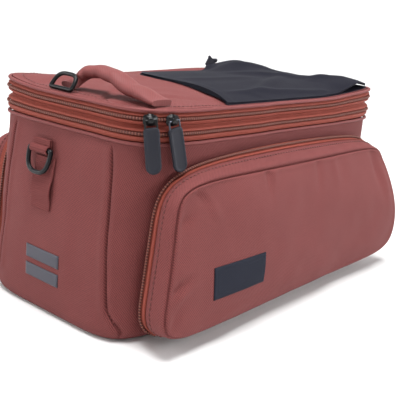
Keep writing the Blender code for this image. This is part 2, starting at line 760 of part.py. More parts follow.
def gusset_point(turn, share, side, inset=0.0):
    """A point on the pocket's outer gusset, which runs from the body wall to the face's edge."""
    point, _ = pocket_flat(turn, share, inset)
    wall = side_wall_y(point.x, point.y) + TOUCH_GAP
    edge = LOW_HALF_WIDTH + pocket_edge_depth(point.x, point.y) - inset
    return Vector((point.x, side * blend(wall, edge, share), point.y))


def face_point(turn, share, side, inset=0.0):
    """A point on the pocket's crowned face: share 1 is at its edge and 0 at its middle."""
    edge, middle = pocket_flat(turn, 1, inset)
    flat = middle.lerp(edge, share)
    depth = LOW_HALF_WIDTH + pocket_edge_depth(flat.x, flat.y) - inset
    crown = POCKET_CROWN * (1 - share**POCKET_CROWN_POWER)
    return Vector((flat.x, side * (depth + crown), flat.y))


def pocket_turns():
    return [math.tau * index / POCKET_POINTS for index in range(POCKET_POINTS)]


def zip_turns():
    return [math.tau * index / POCKET_POINTS for index in range(POCKET_ZIP_FIRST, POCKET_ZIP_LAST + 1)]


def make_pocket_shell(name, side):
    rings = []
    for inset in (0, POCKET_WALL):
        half = []
        for share in POCKET_GUSSET_RINGS:
            half.append([gusset_point(turn, share, side, inset) for turn in pocket_turns()])
        for share in POCKET_FACE_RINGS:
            half.append([face_point(turn, share, side, inset) for turn in pocket_turns()])
        rings = rings + half if inset else half[::-1]
    add_object(name, loft(name, rings), RUST)


def gusset_frame(turn, share, side):
    """A place on the gusset's inner half, with its outward and depth directions."""
    low = gusset_point(turn, 0, side)
    high = gusset_point(turn, 0.5, side)
    ahead, behind = [
        gusset_point(beside, 0, side).lerp(gusset_point(beside, 0.5, side), share * 2)
        for beside in (turn + NEARBY, turn - NEARBY)
    ]
    depth = (high - low).normalized()
    outward = (ahead - behind).cross(depth).normalized() * -side
    place = low.lerp(high, share * 2)
    if outward.dot(Vector((place.x, 0, place.z - POCKET_HIGH / 2))) < 0:
        outward = -outward
    return place, outward, depth


def make_pocket_zip(name, side):
    """The tape along the gusset and the coil on it, from rear foot over the top to front foot."""
    tape = []
    coil = []
    lift = TOUCH_GAP + POCKET_TAPE_WALL
    for turn in zip_turns():
        near, outward, _ = gusset_frame(turn, POCKET_TAPE_SHARES[0], side)
        far, out_far, _ = gusset_frame(turn, POCKET_TAPE_SHARES[1], side)
        tape.append([
            near + outward * TOUCH_GAP,
            near + outward * lift,
            far + out_far * lift,
            far + out_far * TOUCH_GAP,
        ])
        place, outward, depth = gusset_frame(turn, POCKET_COIL_SHARE, side)
        centre = place + outward * (lift + TOUCH_GAP + POCKET_COIL_RADIUS)
        ring = []
        for offset, height in round_profile(0, 0, POCKET_COIL_RADIUS):
            ring.append(centre + outward * offset + depth * height)
        coil.append(ring)
    add_object(name + "_zip_tape", loft(name + "_zip_tape", tape), ORANGE)
    add_object(name + "_zip_coil", loft(name + "_zip_coil", coil), ORANGE)


def capsule_outline(width, length, steps=6):
    """Outline with round ends: its top is at z = 0 and it hangs to z = -length."""
    radius = width / 2
    outline = []
    for centre, start in ((-radius, 0), (radius - length, math.pi)):
        for step in range(steps + 1):
            turn = start + math.pi * step / steps
            outline.append((radius * math.cos(turn), centre + radius * math.sin(turn)))
    return outline


def make_pull(name, origin, bar, outward, lean, tab_look, link_look):
    """A slider with a bridge, and the wire link and rubber tab that hang from the bridge.

    The slider's base is at origin. The link's upper wire runs along bar and is the hinge.
    """
    upward = bar.cross(outward).normalized()
    if upward.z < 0:
        bar, upward = -bar, -upward
    frame = Matrix((bar, outward, upward)).transposed().to_4x4()
    place = Matrix.Translation(origin) @ frame

    plate = bmesh.new()
    bmesh.ops.create_cube(plate, size=1)
    size = (SLIDER_LENGTH, SLIDER_PLATE, SLIDER_WIDTH)
    bmesh.ops.scale(plate, vec=size, verts=plate.verts)
    bmesh.ops.translate(plate, vec=(0, SLIDER_PLATE / 2, 0), verts=plate.verts)
    upright = []
    for edge in plate.edges:
        if abs(edge.verts[0].co.y - edge.verts[1].co.y) > SLIDER_PLATE / 2:
            upright.append(edge)
    bmesh.ops.bevel(plate, geom=upright, offset=SLIDER_WIDTH / 4, segments=2, affect="EDGES")
    slider = add_object(name + "_slider", finish_mesh(plate, name + "_slider", False), BLACK, place)

    low = SLIDER_PLATE - BRIDGE_SINK
    high = BRIDGE_HEIGHT
    half = BRIDGE_HALF
    reach = half + BRIDGE_WALL
    arch = [
        (low, -reach),
        (high, -reach),
        (high + BRIDGE_WALL, -half),
        (high + BRIDGE_WALL, half),
        (high, reach),
        (low, reach),
        (low, half),
        (high, half),
        (high, -half),
        (low, -half),
    ]
    bridge_mesh = prism(name + "_bridge", arch, BRIDGE_LENGTH)
    quarter = Matrix.Rotation(math.pi / 2, 4, "Z")
    boolean(slider, add_object(name + "_bridge", bridge_mesh, BLACK, place @ quarter), "UNION")

    hinge = bpy.data.objects.new(name + "_hinge", None)
    bpy.data.collections["rack_bag"].objects.link(hinge)
    hinge.matrix_world = place @ Matrix.Translation((0, LINK_HEIGHT, 0))
    bpy.context.view_layer.update()
    hang = hinge.matrix_world @ Matrix.Rotation(lean, 4, "Y")
    side = LINK_WIDTH / 2
    corner = LINK_RADIUS * 1.5
    loop = []
    # The bar itself lies at z = 0, on the hinge.
    for x, z, start in ((side, 0, 0), (-side, 0, 90), (-side, -LINK_DROP, 180), (side, -LINK_DROP, 270)):
        inner = Vector((x - math.copysign(corner, x), 0, z - corner if z == 0 else z + corner))
        for step in range(3):
            turn = math.radians(start + 45 * step)
            loop.append(inner + Vector((math.cos(turn), 0, math.sin(turn))) * corner)
    add_object(name + "_link", tube_mesh(name + "_link", loop, LINK_RADIUS), link_look, hang, hinge)

    outline = capsule_outline(PULL_WIDTH, PULL_LENGTH)
    tab = add_object(name + "_tab", prism(name + "_tab", outline, PULL_WALL), tab_look, hang, hinge)
    tab.data.transform(Matrix.Translation((0, 0, PULL_OVERLAP + LINK_RADIUS - LINK_DROP)))
    slot_mesh = tube_mesh(name + "_slot", loop, LINK_RADIUS + TOUCH_GAP)
    boolean(tab, add_object(name + "_slot", slot_mesh, tab_look, hang), "DIFFERENCE")


def make_lid_pulls():
    for name, turn, lean, link_look in LID_PULLS:
        side = signed_power(math.cos(turn), 2 / PLAN_SQUARENESS)
        wide = signed_power(math.sin(turn), 2 / PLAN_SQUARENESS)
        slope_x = signed_power(side, PLAN_SQUARENESS - 1) / TOP_HALF_LENGTH
        slope_y = signed_power(wide, PLAN_SQUARENESS - 1) / TOP_HALF_WIDTH
        outward = Vector((slope_x, slope_y, 0)).normalized()
        reach = COIL_OFFSET + COIL_RADIUS
        place = Vector(((TOP_HALF_LENGTH + reach) * side, (TOP_HALF_WIDTH + reach) * wide, LID_COIL_Z))
        bar = Vector((-outward.y, outward.x, 0))
        make_pull(name, place + outward * TOUCH_GAP, bar, outward, lean, SLATE, link_look)


def make_pocket_pull(name, side):
    place, outward, _ = gusset_frame(POCKET_SLIDER_TURN, POCKET_COIL_SHARE, side)
    lift = TOUCH_GAP + POCKET_TAPE_WALL + TOUCH_GAP + 2 * POCKET_COIL_RADIUS + TOUCH_GAP
    ahead = gusset_frame(POCKET_SLIDER_TURN + NEARBY, POCKET_COIL_SHARE, side)[0]
    bar = (ahead - place).cross(outward).normalized()
    make_pull(name, place + outward * lift, bar, outward, 0, SLATE, BLACK)


def make_patch(name, middle, size, wall_at):
    """A thin patch that follows a wall.

    middle and size are (across, height), and wall_at gives the point at a place on the wall and a
    distance off it.
    """
    columns = []
    for step in range(PATCH_COLUMNS + 1):
        across = middle[0] + size[0] * (step / PATCH_COLUMNS - 0.5)
        heights = [middle[1] + size[1] * (row / PATCH_ROWS - 0.5) for row in range(PATCH_ROWS + 1)]
        inner = [wall_at(across, height, TOUCH_GAP) for height in heights]
        outer = [wall_at(across, height, TOUCH_GAP + PATCH_WALL) for height in heights]
        columns.append(inner + outer[::-1])
    add_object(name, loft(name, columns), SLATE)


def make_rear_patches():
    """Plain reflective bars on the rear end."""
    for index in range(REAR_PATCH_COUNT):
        height = REAR_PATCH_Z + REAR_PATCH_STEP * (index - (REAR_PATCH_COUNT - 1) / 2)
        make_patch(
            "rear_patch_" + "ab"[index],
            (REAR_PATCH_Y, height),
            (REAR_PATCH_WIDTH, REAR_PATCH_HEIGHT),
            lambda y, z, away: (-(end_wall_x(y, z) + away), y, z),
        )


def face_y(x, z):
    """Depth of the pocket's crowned face at this place, from its share of the way to the edge."""
    middle = pocket_flat(0, 1)[1]
    place = Vector((x, z)) - middle
    corners = [pocket_flat(turn, 1)[0] - middle for turn in pocket_turns()]
    share = 0
    for corner, after in zip(corners, corners[1:] + corners[:1]):
        side = (after - corner).normalized()
        normal = Vector((side.y, -side.x))
        share = max(share, place.dot(normal) / corner.dot(normal))
    share = max(min(share, 1), POCKET_FACE_RINGS[-1])
    crown = POCKET_CROWN * (1 - share**POCKET_CROWN_POWER)
    return LOW_HALF_WIDTH + pocket_edge_depth(x, z) + crown


def make_label():
    """A plain cloth label on the -Y pocket's face."""
    make_patch(
        "side_label",
        (LABEL_X, LABEL_Z),
        (LABEL_WIDTH, LABEL_HEIGHT),
        lambda x, z, away: (x, -(face_y(x, z) + away), z),
    )


def main():
    for item in list(bpy.data.objects):
        bpy.data.objects.remove(item)
    new_collection("rack_bag")
    new_collection("cutters").hide_render = True
    make_body()
    make_bands()
    make_lid()
    make_cover()
    make_cover_tab()
    make_handle()
    make_handle_ring()
    make_rear_ring()
    make_light_loop()
    make_lid_pulls()
    for name, side in (("near_pocket", -1), ("far_pocket", 1)):
        make_pocket_shell(name, side)
        make_pocket_zip(name, side)
        make_pocket_pull(name + "_pull", side)
    make_rear_patches()
    make_label()


main()
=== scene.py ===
"""Dresses the bicycle rack bag: soft cloth forms, zips, webbing, pulls, pockets, stitching and the stage.

Lengths inside the shape functions are in metres, with MM for millimetres. +X is the bag's hidden front
end, -X its rear end with the ring, and -Y the long side with the label.
"""

import math

import bmesh
import bpy
import numpy as np
from bpy.props import FloatProperty, FloatVectorProperty, PointerProperty
from mathutils import Matrix, Vector


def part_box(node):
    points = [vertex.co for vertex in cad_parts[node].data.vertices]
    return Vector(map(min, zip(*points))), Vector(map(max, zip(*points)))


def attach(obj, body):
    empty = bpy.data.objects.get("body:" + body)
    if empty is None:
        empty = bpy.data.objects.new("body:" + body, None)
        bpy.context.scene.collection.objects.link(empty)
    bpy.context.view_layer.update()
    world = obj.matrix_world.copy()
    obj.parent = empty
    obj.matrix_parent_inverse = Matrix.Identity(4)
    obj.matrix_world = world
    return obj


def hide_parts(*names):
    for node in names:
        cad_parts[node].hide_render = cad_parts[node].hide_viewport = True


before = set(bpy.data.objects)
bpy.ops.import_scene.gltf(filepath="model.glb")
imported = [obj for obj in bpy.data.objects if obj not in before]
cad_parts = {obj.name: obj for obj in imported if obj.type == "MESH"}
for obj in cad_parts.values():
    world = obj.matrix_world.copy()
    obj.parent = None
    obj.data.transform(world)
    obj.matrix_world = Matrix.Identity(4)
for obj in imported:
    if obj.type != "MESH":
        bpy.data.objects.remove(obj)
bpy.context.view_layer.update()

bl_info = {
    "name": "Rack bag dressing",
    "version": (1, 0, 0),
    "blender": (4, 5, 0),
    "location": "3D View > Sidebar > Rack bag",
    "description": "Adds the soft forms, trims, hardware and stage of a bicycle rack bag",
    "category": "Add Mesh",
}

MM = 0.001

# Body and bands, as the frame has them
BODY_TOP = 165 * MM
TOP_HALF = (194.5 * MM, 98.5 * MM)
LOW_HALF = (204 * MM, 96.5 * MM)
END_BULGE = 5 * MM
FOOT_HEIGHT = 9 * MM
FOOT_END = 5 * MM
FOOT_SIDE = 9 * MM
BODY_WALL = 4 * MM
SQUARENESS = 7
BODY_PIPING_Z = 166.9 * MM
LOWER_BAND = (168.8 * MM, 181.3 * MM)
LOWER_COIL_Z = 175.3 * MM
UPPER_BAND = (181.6 * MM, 191.6 * MM)
UPPER_COIL_Z = 187.2 * MM
RIM_PIPING_Z = 193.5 * MM
LID_EDGE_Z = 194.9 * MM
LID_WALL = 3 * MM
LID_HALF = (193.4 * MM, 97.4 * MM)
LID_DOME = 6 * MM
LID_DOME_POWER = 2.4
LID_FLAT_SHARE = 0.35
GROOVE = 1.6 * MM
SWELL = 1.6 * MM
BAND_WALL = 3.5 * MM
COIL_OFFSET = 1.6 * MM
COIL_RADIUS = 1.4 * MM
PIPING_RADIUS = 1.6 * MM
PIPING_OFFSET = 0.8 * MM

# Pockets
POCKET_COIL_SHARE = 0.27
POCKET_TAPE_SHARES = (0.06, 0.44)
POCKET_TAPE_WALL = 1.2 * MM
POCKET_COIL_RADIUS = 1.3 * MM
POCKET_WALL = 2 * MM
TOUCH_GAP = 0.3 * MM


def signed_power(value, power):
    """A power that keeps the value's sign."""
    return np.sign(value) * np.abs(value) ** power


def smooth(share):
    share = np.clip(share, 0, 1)
    return share * share * (3 - 2 * share)


def ramp(value, start, end):
    return smooth((value - start) / (end - start))


def bump(distance, width):
    """A soft bell that is 1 at no distance."""
    return np.exp(-((distance / width) ** 2))


def eased_table(rows, share):
    """Reads (share, value) rows with eased steps."""
    share = np.asarray(share, float)
    found = np.full(share.shape, float(rows[-1][1]))
    for (low, low_value), (high, high_value) in reversed(list(zip(rows, rows[1:]))):
        step = smooth((share - low) / (high - low))
        found = np.where(share <= high, low_value + (high_value - low_value) * step, found)
    return found


def flow_slopes(at, values):
    """Slopes for a smooth curve through values that never swings past them."""
    steps = np.diff(values, axis=0) / np.diff(at).reshape(-1, *[1] * (values.ndim - 1))
    before, after = steps[:-1], steps[1:]
    total = before + after
    middle = np.where(before * after > 0, 2 * before * after / np.where(total == 0, 1, total), 0)
    return np.concatenate([steps[:1], middle, steps[-1:]])


def curve_between(start, end, start_slope, end_slope, t):
    """A smooth curve from one value to the next with a slope at each, read at t from 0 to 1."""
    first = start * (1 + 2 * t) * (1 - t) ** 2 + start_slope * t * (1 - t) ** 2
    second = end * t * t * (3 - 2 * t) + end_slope * t * t * (t - 1)
    return first + second


def flowing_table(rows, share):
    """Reads (share, value) rows along one smooth curve through them."""
    at, values = np.array(rows, float).T
    slopes = flow_slopes(at, values)
    place = np.clip(np.searchsorted(at, share) - 1, 0, len(at) - 2)
    span = at[place + 1] - at[place]
    t = np.clip((share - at[place]) / span, 0, 1)
    return curve_between(values[place], values[place + 1], slopes[place] * span, slopes[place + 1] * span, t)


def waves(place, seed, lengths, heights):
    """Slow waves along a length: a sum of sines whose phases come from the seed."""
    rng = np.random.default_rng(seed)
    total = np.zeros_like(np.asarray(place, float))
    for length, height in zip(lengths, heights):
        total += height * np.sin(math.tau * place / length + rng.uniform(0, math.tau))
    return total


def cloth_noise(x, y, seed, cell, height):
    """Smooth random dents on a plane, with cells of one size."""
    rng = np.random.default_rng(seed)
    grid = rng.uniform(-1, 1, (64, 64))
    u, v = np.asarray(x) / cell + 31, np.asarray(y) / cell + 31
    i, j = np.floor(u).astype(int), np.floor(v).astype(int)
    s, t = smooth(u - i), smooth(v - j)
    value = 0
    for di, wi in ((0, 1 - s), (1, s)):
        for dj, wj in ((0, 1 - t), (1, t)):
            value = value + grid[(i + di) % 64, (j + dj) % 64] * wi * wj
    return height * value


def linear(hex_colour):
    """Turns an sRGB hex colour into linear light."""
    parts = [int(hex_colour[i : i + 2], 16) / 255 for i in (1, 3, 5)]
    return (*[p / 12.92 if p <= 0.04045 else ((p + 0.055) / 1.055) ** 2.4 for p in parts], 1)


def shade(colour, factor):
    return (*[min(channel * factor, 1) for channel in colour[:3]], 1)


# Meshes


def add_piece(name, mesh, material, node=None, body="bag"):
    """Adds a piece that rides on a body and, where a node is given, stands for that solid."""
    piece = bpy.data.objects.new(name, mesh)
    bpy.context.scene.collection.objects.link(piece)
    mesh.materials.append(material)
    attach(piece, body)
    if node:
        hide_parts(node)
    return piece


def once_more(rings):
    """The rings with each one's first point repeated at its end."""
    return np.concatenate([rings, rings[:, :1]], 1)


def grid_mesh(name, rings, closed=False, caps=False, cloth_run=None):
    """A skin of quads over rings[ring][point]. closed joins the last ring to the first, caps fills both ends.

    cloth_run is the cloth's own place in metres at each corner, by which its weave is drawn.
    """
    rows, columns = rings.shape[:2]
    r, c = np.indices((rows if closed else rows - 1, columns))
    after_r, after_c = (r + 1) % rows, (c + 1) % columns
    corners = [r * columns + c, r * columns + after_c, after_r * columns + after_c, after_r * columns + c]
    faces = np.stack(corners, -1).reshape(-1, 4).tolist()
    if cloth_run is None:
        tall = np.concatenate([rings, rings[:1]]) if closed else rings
        around = np.linalg.norm(np.diff(once_more(rings), axis=1), axis=2).mean(0)
        upward = np.linalg.norm(np.diff(tall, axis=0), axis=2).mean(1)
        u, v = [np.concatenate([[0], np.cumsum(steps)]) for steps in (around, upward)]
        cloth_run = np.stack(np.meshgrid(u, v), -1)
    runs = [cloth_run[r, c], cloth_run[r, c + 1], cloth_run[r + 1, c + 1], cloth_run[r + 1, c]]
    loops = [np.stack(runs, 2).reshape(-1, 2)]
    points = rings.reshape(-1, 3)
    if caps:
        first = list(range(columns))[::-1]
        last = list(range((rows - 1) * columns, rows * columns))
        faces += [first, last]
        loops += [points[first, :2], points[last, :2]]
    mesh = bpy.data.meshes.new(name)
    mesh.from_pydata(points.tolist(), [], faces)
    layer = mesh.uv_layers.new(name="cloth_run")
    layer.data.foreach_set("uv", np.concatenate(loops).astype(np.float32).ravel())
    mesh.shade_smooth()
    mesh.validate()
    return mesh


def outward_mesh(mesh):
    """Turns the mesh inside out if its volume comes out negative."""
    mesh.calc_loop_triangles()
    points = np.empty(len(mesh.vertices) * 3, np.float32)
    mesh.vertices.foreach_get("co", points)
    corners = np.empty(len(mesh.loop_triangles) * 3, np.int32)
    mesh.loop_triangles.foreach_get("vertices", corners)
    a, b, c = points.reshape(-1, 3)[corners.reshape(-1, 3)].transpose(1, 0, 2)
    if np.einsum("ij,ij->i", a, np.cross(b, c)).sum() < 0:
        mesh.flip_normals()
    return mesh


def solid_mesh(name, rings, closed=False, cloth_run=None, sharp=None):
    """A skin without a gap that faces outward, with sharp edges where it turns by more than sharp degrees."""
    mesh = outward_mesh(grid_mesh(name, rings, closed, not closed, cloth_run))
    if sharp:
        mesh.set_sharp_from_angle(angle=math.radians(sharp))
    return mesh


def run_along(path):
    """How far along a path each of its points lies."""
    return np.concatenate([[0], np.cumsum(np.linalg.norm(np.diff(path, axis=0), axis=1))])


def read_along(run, table, at):
    """Reads the rows of a table, such as the points of a path, at distances along its run."""
    return np.stack([np.interp(at, run, column) for column in table.T], 1)


def unit(rows):
    return rows / np.linalg.norm(rows, axis=1, keepdims=True)


def square_to(along, hint):
    """The part of a direction that is square to a path, at length 1."""
    hint = np.broadcast_to(np.asarray(hint, float), along.shape)
    return unit(hint - along * np.einsum("ij,ij->i", hint, along)[:, None])


def circles(first, second, sides):
    """Directions all round each place, from the first direction toward the second."""
    turn = (math.tau * np.arange(sides) / sides)[:, None]
    return first[:, None] * np.cos(turn) + second[:, None] * np.sin(turn)


def tangents(path, closed=False):
    if closed:
        return unit(np.roll(path, -1, 0) - np.roll(path, 1, 0))
    return unit(np.gradient(path, axis=0))


def tube_points(path, radius, sides, side_hint, closed=False):
    """Rings round a path, measured from side_hint. radius is one number or one for each point."""
    along = tangents(path, closed)
    first = square_to(along, side_hint)
    radius = np.broadcast_to(np.asarray(radius, float), (len(path),))[:, None, None]
    return path[:, None] + circles(first, np.cross(along, first), sides) * radius


def wire_ring(name, path, radius, sides, side_hint):
    """Round wire along a path that closes on itself."""
    return solid_mesh(name, tube_points(path, radius, sides, side_hint, True), closed=True)


def even_path(points, count, closed=False):
    """Points evenly spread along a path. One that closes also has its corners rounded off a little."""
    path = np.asarray(points, float)
    if closed:
        path = np.concatenate([path, path[:1]])
    run = run_along(path)
    path = read_along(run, path, np.linspace(0, run[-1], count + closed)[:count])
    for _ in range(3 if closed else 0):
        path = 0.5 * path + 0.25 * (np.roll(path, 1, 0) + np.roll(path, -1, 0))
    return path


def strap_mesh(name, path, across, width, thickness, ribs=9):
    """Woven webbing with soft rounded edges. path runs through the strap's middle."""
    along = tangents(path)
    across = square_to(along, across)
    up = np.cross(across, along)
    edge = thickness / 2
    flat = width / 2 - edge
    level = np.linspace(-flat, flat, ribs)
    turn = np.linspace(math.pi / 2, -math.pi / 2, 7)[1:-1]
    section = [(x, edge) for x in level]
    section += [(flat + edge * math.cos(t), edge * math.sin(t)) for t in turn]
    section += [(x, -edge) for x in level[::-1]]
    section += [(-flat - edge * math.cos(t), -edge * math.sin(t)) for t in turn]
    section = np.array(section)
    return solid_mesh(name, path[:, None] + across[:, None] * section[:, :1] + up[:, None] * section[:, 1:])


# One stitch: place along it and thickness there, as shares of its length and of the thread's radius
STITCH = np.array([(-0.5, 0.25), (-0.4, 0.8), (-0.15, 1.0), (0.15, 1.0), (0.4, 0.8), (0.5, 0.25)])
STITCH_SIDES = 6
STITCH_LENGTH_SHARE = 0.68


def stitch_mesh(name, path, normals, pitch, radius):
    """A row of thread stitches along a path, each a small capsule sunk a little in the cloth."""
    length = pitch * STITCH_LENGTH_SHARE
    run = run_along(path)
    count = max(int(run[-1] / pitch), 1)
    middle = (np.arange(count) + 0.5) * run[-1] / count
    ahead, behind = np.minimum(middle + length / 2, run[-1]), np.maximum(middle - length / 2, 0)
    along = unit(read_along(run, path, ahead) - read_along(run, path, behind))
    normal = square_to(along, read_along(run, normals, middle))
    ring = circles(normal, np.cross(normal, along), STITCH_SIDES)
    points = (
        read_along(run, path, middle)[:, None, None]
        + along[:, None, None] * (STITCH[:, 0] * length)[None, :, None, None]
        + ring[:, None] * (STITCH[:, 1] * radius)[None, :, None, None]
    )
    each = len(STITCH) * STITCH_SIDES
    r, c = np.indices((len(STITCH) - 1, STITCH_SIDES))
    here, above, after = r * STITCH_SIDES, (r + 1) * STITCH_SIDES, (c + 1) % STITCH_SIDES
    quads = np.stack([here + c, here + after, above + after, above + c], -1).reshape(1, -1, 4)
    starts = np.arange(count) * each
    faces = (quads + starts[:, None, None]).reshape(-1, 4).tolist()
    for start in starts.tolist():
        faces.append([start + k for k in reversed(range(STITCH_SIDES))])
        faces.append([start + k for k in range(each - STITCH_SIDES, each)])
    mesh = bpy.data.meshes.new(name)
    mesh.from_pydata(points.reshape(-1, 3).tolist(), [], faces)
    mesh.shade_smooth()
    return outward_mesh(mesh)


# The bag's plan


def unit_plan(turn, squareness=SQUARENESS):
    """A point on the unit rounded square in each direction."""
    c, s = np.cos(turn), np.sin(turn)
    size = (np.abs(c) ** squareness + np.abs(s) ** squareness) ** (1 / squareness)
    return c / size, s / size


def squared_off(share):
    """How wide the rounded square still is at a share of its half length."""
    return (1 - share**SQUARENESS) ** (1 / SQUARENESS)


def even_turns(count, crowding=None):
    """Directions whose points are evenly spread round the outline, and the outline's length at each.

    crowding gives how much closer together they lie at a place.
    """
    dense = np.linspace(0, math.tau, 16001)
    points = np.stack(unit_plan(dense), 1) * TOP_HALF
    steps = np.linalg.norm(np.diff(points, axis=0), axis=1)
    if crowding:
        steps = steps * crowding(points[1:])
    run = np.concatenate([[0], np.cumsum(steps)])
    at = run[-1] * np.arange(count) / count
    return np.interp(at, run, dense), at


def lid_lift(x, y, height):
    """How far the soft bands and lid stand above their level height: at two corners and along the far rim."""
    stretch = np.clip((height - BODY_TOP) / (LID_EDGE_Z - BODY_TOP), 0, 1)
    front = 6 * MM * ramp(x, 50 * MM, 185 * MM) * ramp(y, 30 * MM, -90 * MM)
    rear = 4 * MM * ramp(x, -110 * MM, -185 * MM) * ramp(y, 25 * MM, 90 * MM)
    far = 5 * MM * ramp(y, 70 * MM, 94 * MM) * bump(x - 105 * MM, 110 * MM)
    return stretch * (front + rear + far)


def plan_ring(turns, half_length, half_width, height, bulge=0.0):
    side, wide = unit_plan(turns)
    x = half_length * side + bulge * (1 - wide * wide) * signed_power(side, SQUARENESS)
    y = half_width * wide
    return np.stack([x, y, height + lid_lift(x, y, height)], 1)


def plan_normal(turns):
    side, wide = [signed_power(part, SQUARENESS - 1) for part in unit_plan(turns)]
    return unit(np.stack([side / TOP_HALF[0], wide / TOP_HALF[1], np.zeros_like(side)], 1))


def body_half(share):
    """Half the body's length and width, and how far its ends bulge, at a share of its height."""
    length, width = [low + (top - low) * share for low, top in zip(LOW_HALF, TOP_HALF)]
    return length, width, END_BULGE * np.sin(math.pi * np.clip(share, 0, 1))


def side_wall_y(x, z):
    length, width, _ = body_half(z / BODY_TOP)
    return width * squared_off(np.minimum(np.abs(x) / length, 0.999))


def end_wall_x(y, z):
    length, width, bulge = body_half(z / BODY_TOP)
    share = np.minimum(np.abs(y) / width, 0.999)
    return length * squared_off(share) + bulge * (1 - share * share)


def lid_top(x, y):
    ratio = np.abs(x / LID_HALF[0]) ** SQUARENESS + np.abs(y / LID_HALF[1]) ** SQUARENESS
    share = np.clip(ratio ** (1 / SQUARENESS), LID_FLAT_SHARE, 1)
    height = LID_EDGE_Z + LID_DOME * (1 - share**LID_DOME_POWER)
    return height + lid_lift(x, y, height)


PLAN_COLUMNS = 480
PLAN_TURNS, PLAN_RUN = even_turns(PLAN_COLUMNS)
# The seam on each end: share of the body's height, and distance from the middle in millimetres
REAR_SEAM = ((0.0, 78.0), (0.05, 82.0), (0.17, 71.0), (0.32, 69.0), (0.58, 66.0), (0.82, 64.0), (1.0, 60.0))


def body_relief(points):
    """Seam creases and soft dents of the body's two ends: how far each point moves outward."""
    x, y, z = np.moveaxis(points, -1, 0)
    level = np.clip(z / BODY_TOP, 0, 1)
    ends = ramp(np.abs(x), 176 * MM, 188 * MM)
    away = np.abs(y) - flowing_table(REAR_SEAM, level) * MM
    ridges = bump(away - 4.5 * MM, 3.5 * MM) + bump(away + 4.5 * MM, 3.5 * MM)
    crease = -3.0 * MM * bump(away, 1.0 * MM) + 1.0 * MM * ridges
    bulge = 1.2 * MM * bump(away - 13 * MM, 9 * MM) * np.sin(math.pi * level)
    quiet = 1 - ramp(np.abs(y), 36 * MM, 20 * MM)
    dents = cloth_noise(y, z, 21, 34 * MM, 0.9 * MM) + cloth_noise(y, z, 22, 15 * MM, 0.45 * MM)
    edges = ramp(level, 0.0, 0.06) * ramp(level, 1.0, 0.93)
    return ends * edges * (crease + bulge + dents * quiet)


# Materials

# A wave texture of scale 1 repeats after this many metres.
WAVE_PERIOD = math.tau / 20
# Angles of the twill's two sets of threads, in degrees
TWILL = (-38, 52)
# The middle of a noise's values, which is spread over the whole of what it drives
MIDDLE = {"From Min": 0.3, "From Max": 0.7}


def add_node(tree, kind, inputs=None, output=0, **settings):
    """Adds a node with its settings, its values and the links into it, and returns one of its outputs."""
    node = tree.nodes.new("ShaderNode" + kind)
    for name, value in settings.items():
        setattr(node, name, value)
    for name, value in (inputs or {}).items():
        if isinstance(value, bpy.types.NodeSocket):
            tree.links.new(value, node.inputs[name])
        else:
            node.inputs[name].default_value = value
    return node.outputs[output]


def new_material(name, **sockets):
    """A material with a Principled shader whose constant values sit on its own sockets, made only once."""
    made = bpy.data.materials.get(name)
    if made:
        return made, None, None
    made = bpy.data.materials.new(name)
    made.use_nodes = True
    tree = made.node_tree
    shader = tree.nodes["Principled BSDF"]
    for key, value in sockets.items():
        shader.inputs[key.replace("_", " ")].default_value = value
    made.diffuse_color = (*sockets.get("Base_Color", (0.5, 0.5, 0.5, 1))[:3], 1)
    return made, tree, shader


def woven_cloth(name, colour, pitch, contrast, speckle, roughness, shine, relief):
    """Dyed textured nylon or polyester: a matt coat of fine diagonal threads with a faint mottle.

    pitch is the drawn distance between threads. Real yarns lie about 0.5 mm apart, which is less than a
    pixel here, so the twill is drawn about three times as coarse.
    """
    made, tree, shader = new_material(name, Roughness=roughness, Specular_IOR_Level=shine)
    if tree is None:
        return made
    place = add_node(tree, "UVMap", uv_map="cloth_run")
    sets = []
    for angle in TWILL:
        turned = add_node(tree, "Mapping", {"Vector": place, "Rotation": (0, 0, math.radians(angle))})
        threads = {"Vector": turned, "Scale": WAVE_PERIOD / pitch, "Distortion": 1.0, "Detail": 1.0}
        sets.append(add_node(tree, "TexWave", threads, "Fac", wave_type="BANDS", bands_direction="X"))
    twill = add_node(tree, "Mix", {0: 0.35, 2: sets[0], 3: sets[1]}, data_type="FLOAT")
    grain = {"Vector": place, "Scale": 1 / (1.6 * MM), "Detail": 3.0, "Roughness": 0.7}
    specks = add_node(tree, "TexNoise", grain, "Fac")
    mottle = add_node(tree, "TexNoise", {"Vector": place, "Scale": 1 / (30 * MM), "Detail": 3.0}, "Fac")
    weave = add_node(tree, "Mix", {0: speckle, 2: twill, 3: specks}, data_type="FLOAT")
    level = add_node(tree, "MapRange", {"Value": weave, **MIDDLE, "To Min": 0.0, "To Max": 1.0})
    tones_and_painted_light = {0: level, 6: shade(colour, 1 - contrast), 7: shade(colour, 1 + contrast)}
    tint = add_node(tree, "Mix", tones_and_painted_light, 2, data_type="RGBA")
    patch = add_node(tree, "MapRange", {"Value": mottle, **MIDDLE, "To Min": 0.0, "To Max": 0.22})
    faded = add_node(tree, "Mix", {0: patch, 6: tint, 7: shade(colour, 0.72)}, 2, data_type="RGBA")
    bumped = add_node(tree, "Bump", {"Height": weave, "Strength": relief, "Distance": 0.4 * MM})
    tree.links.new(faded, shader.inputs["Base Color"])
    tree.links.new(bumped, shader.inputs["Normal"])
    return made


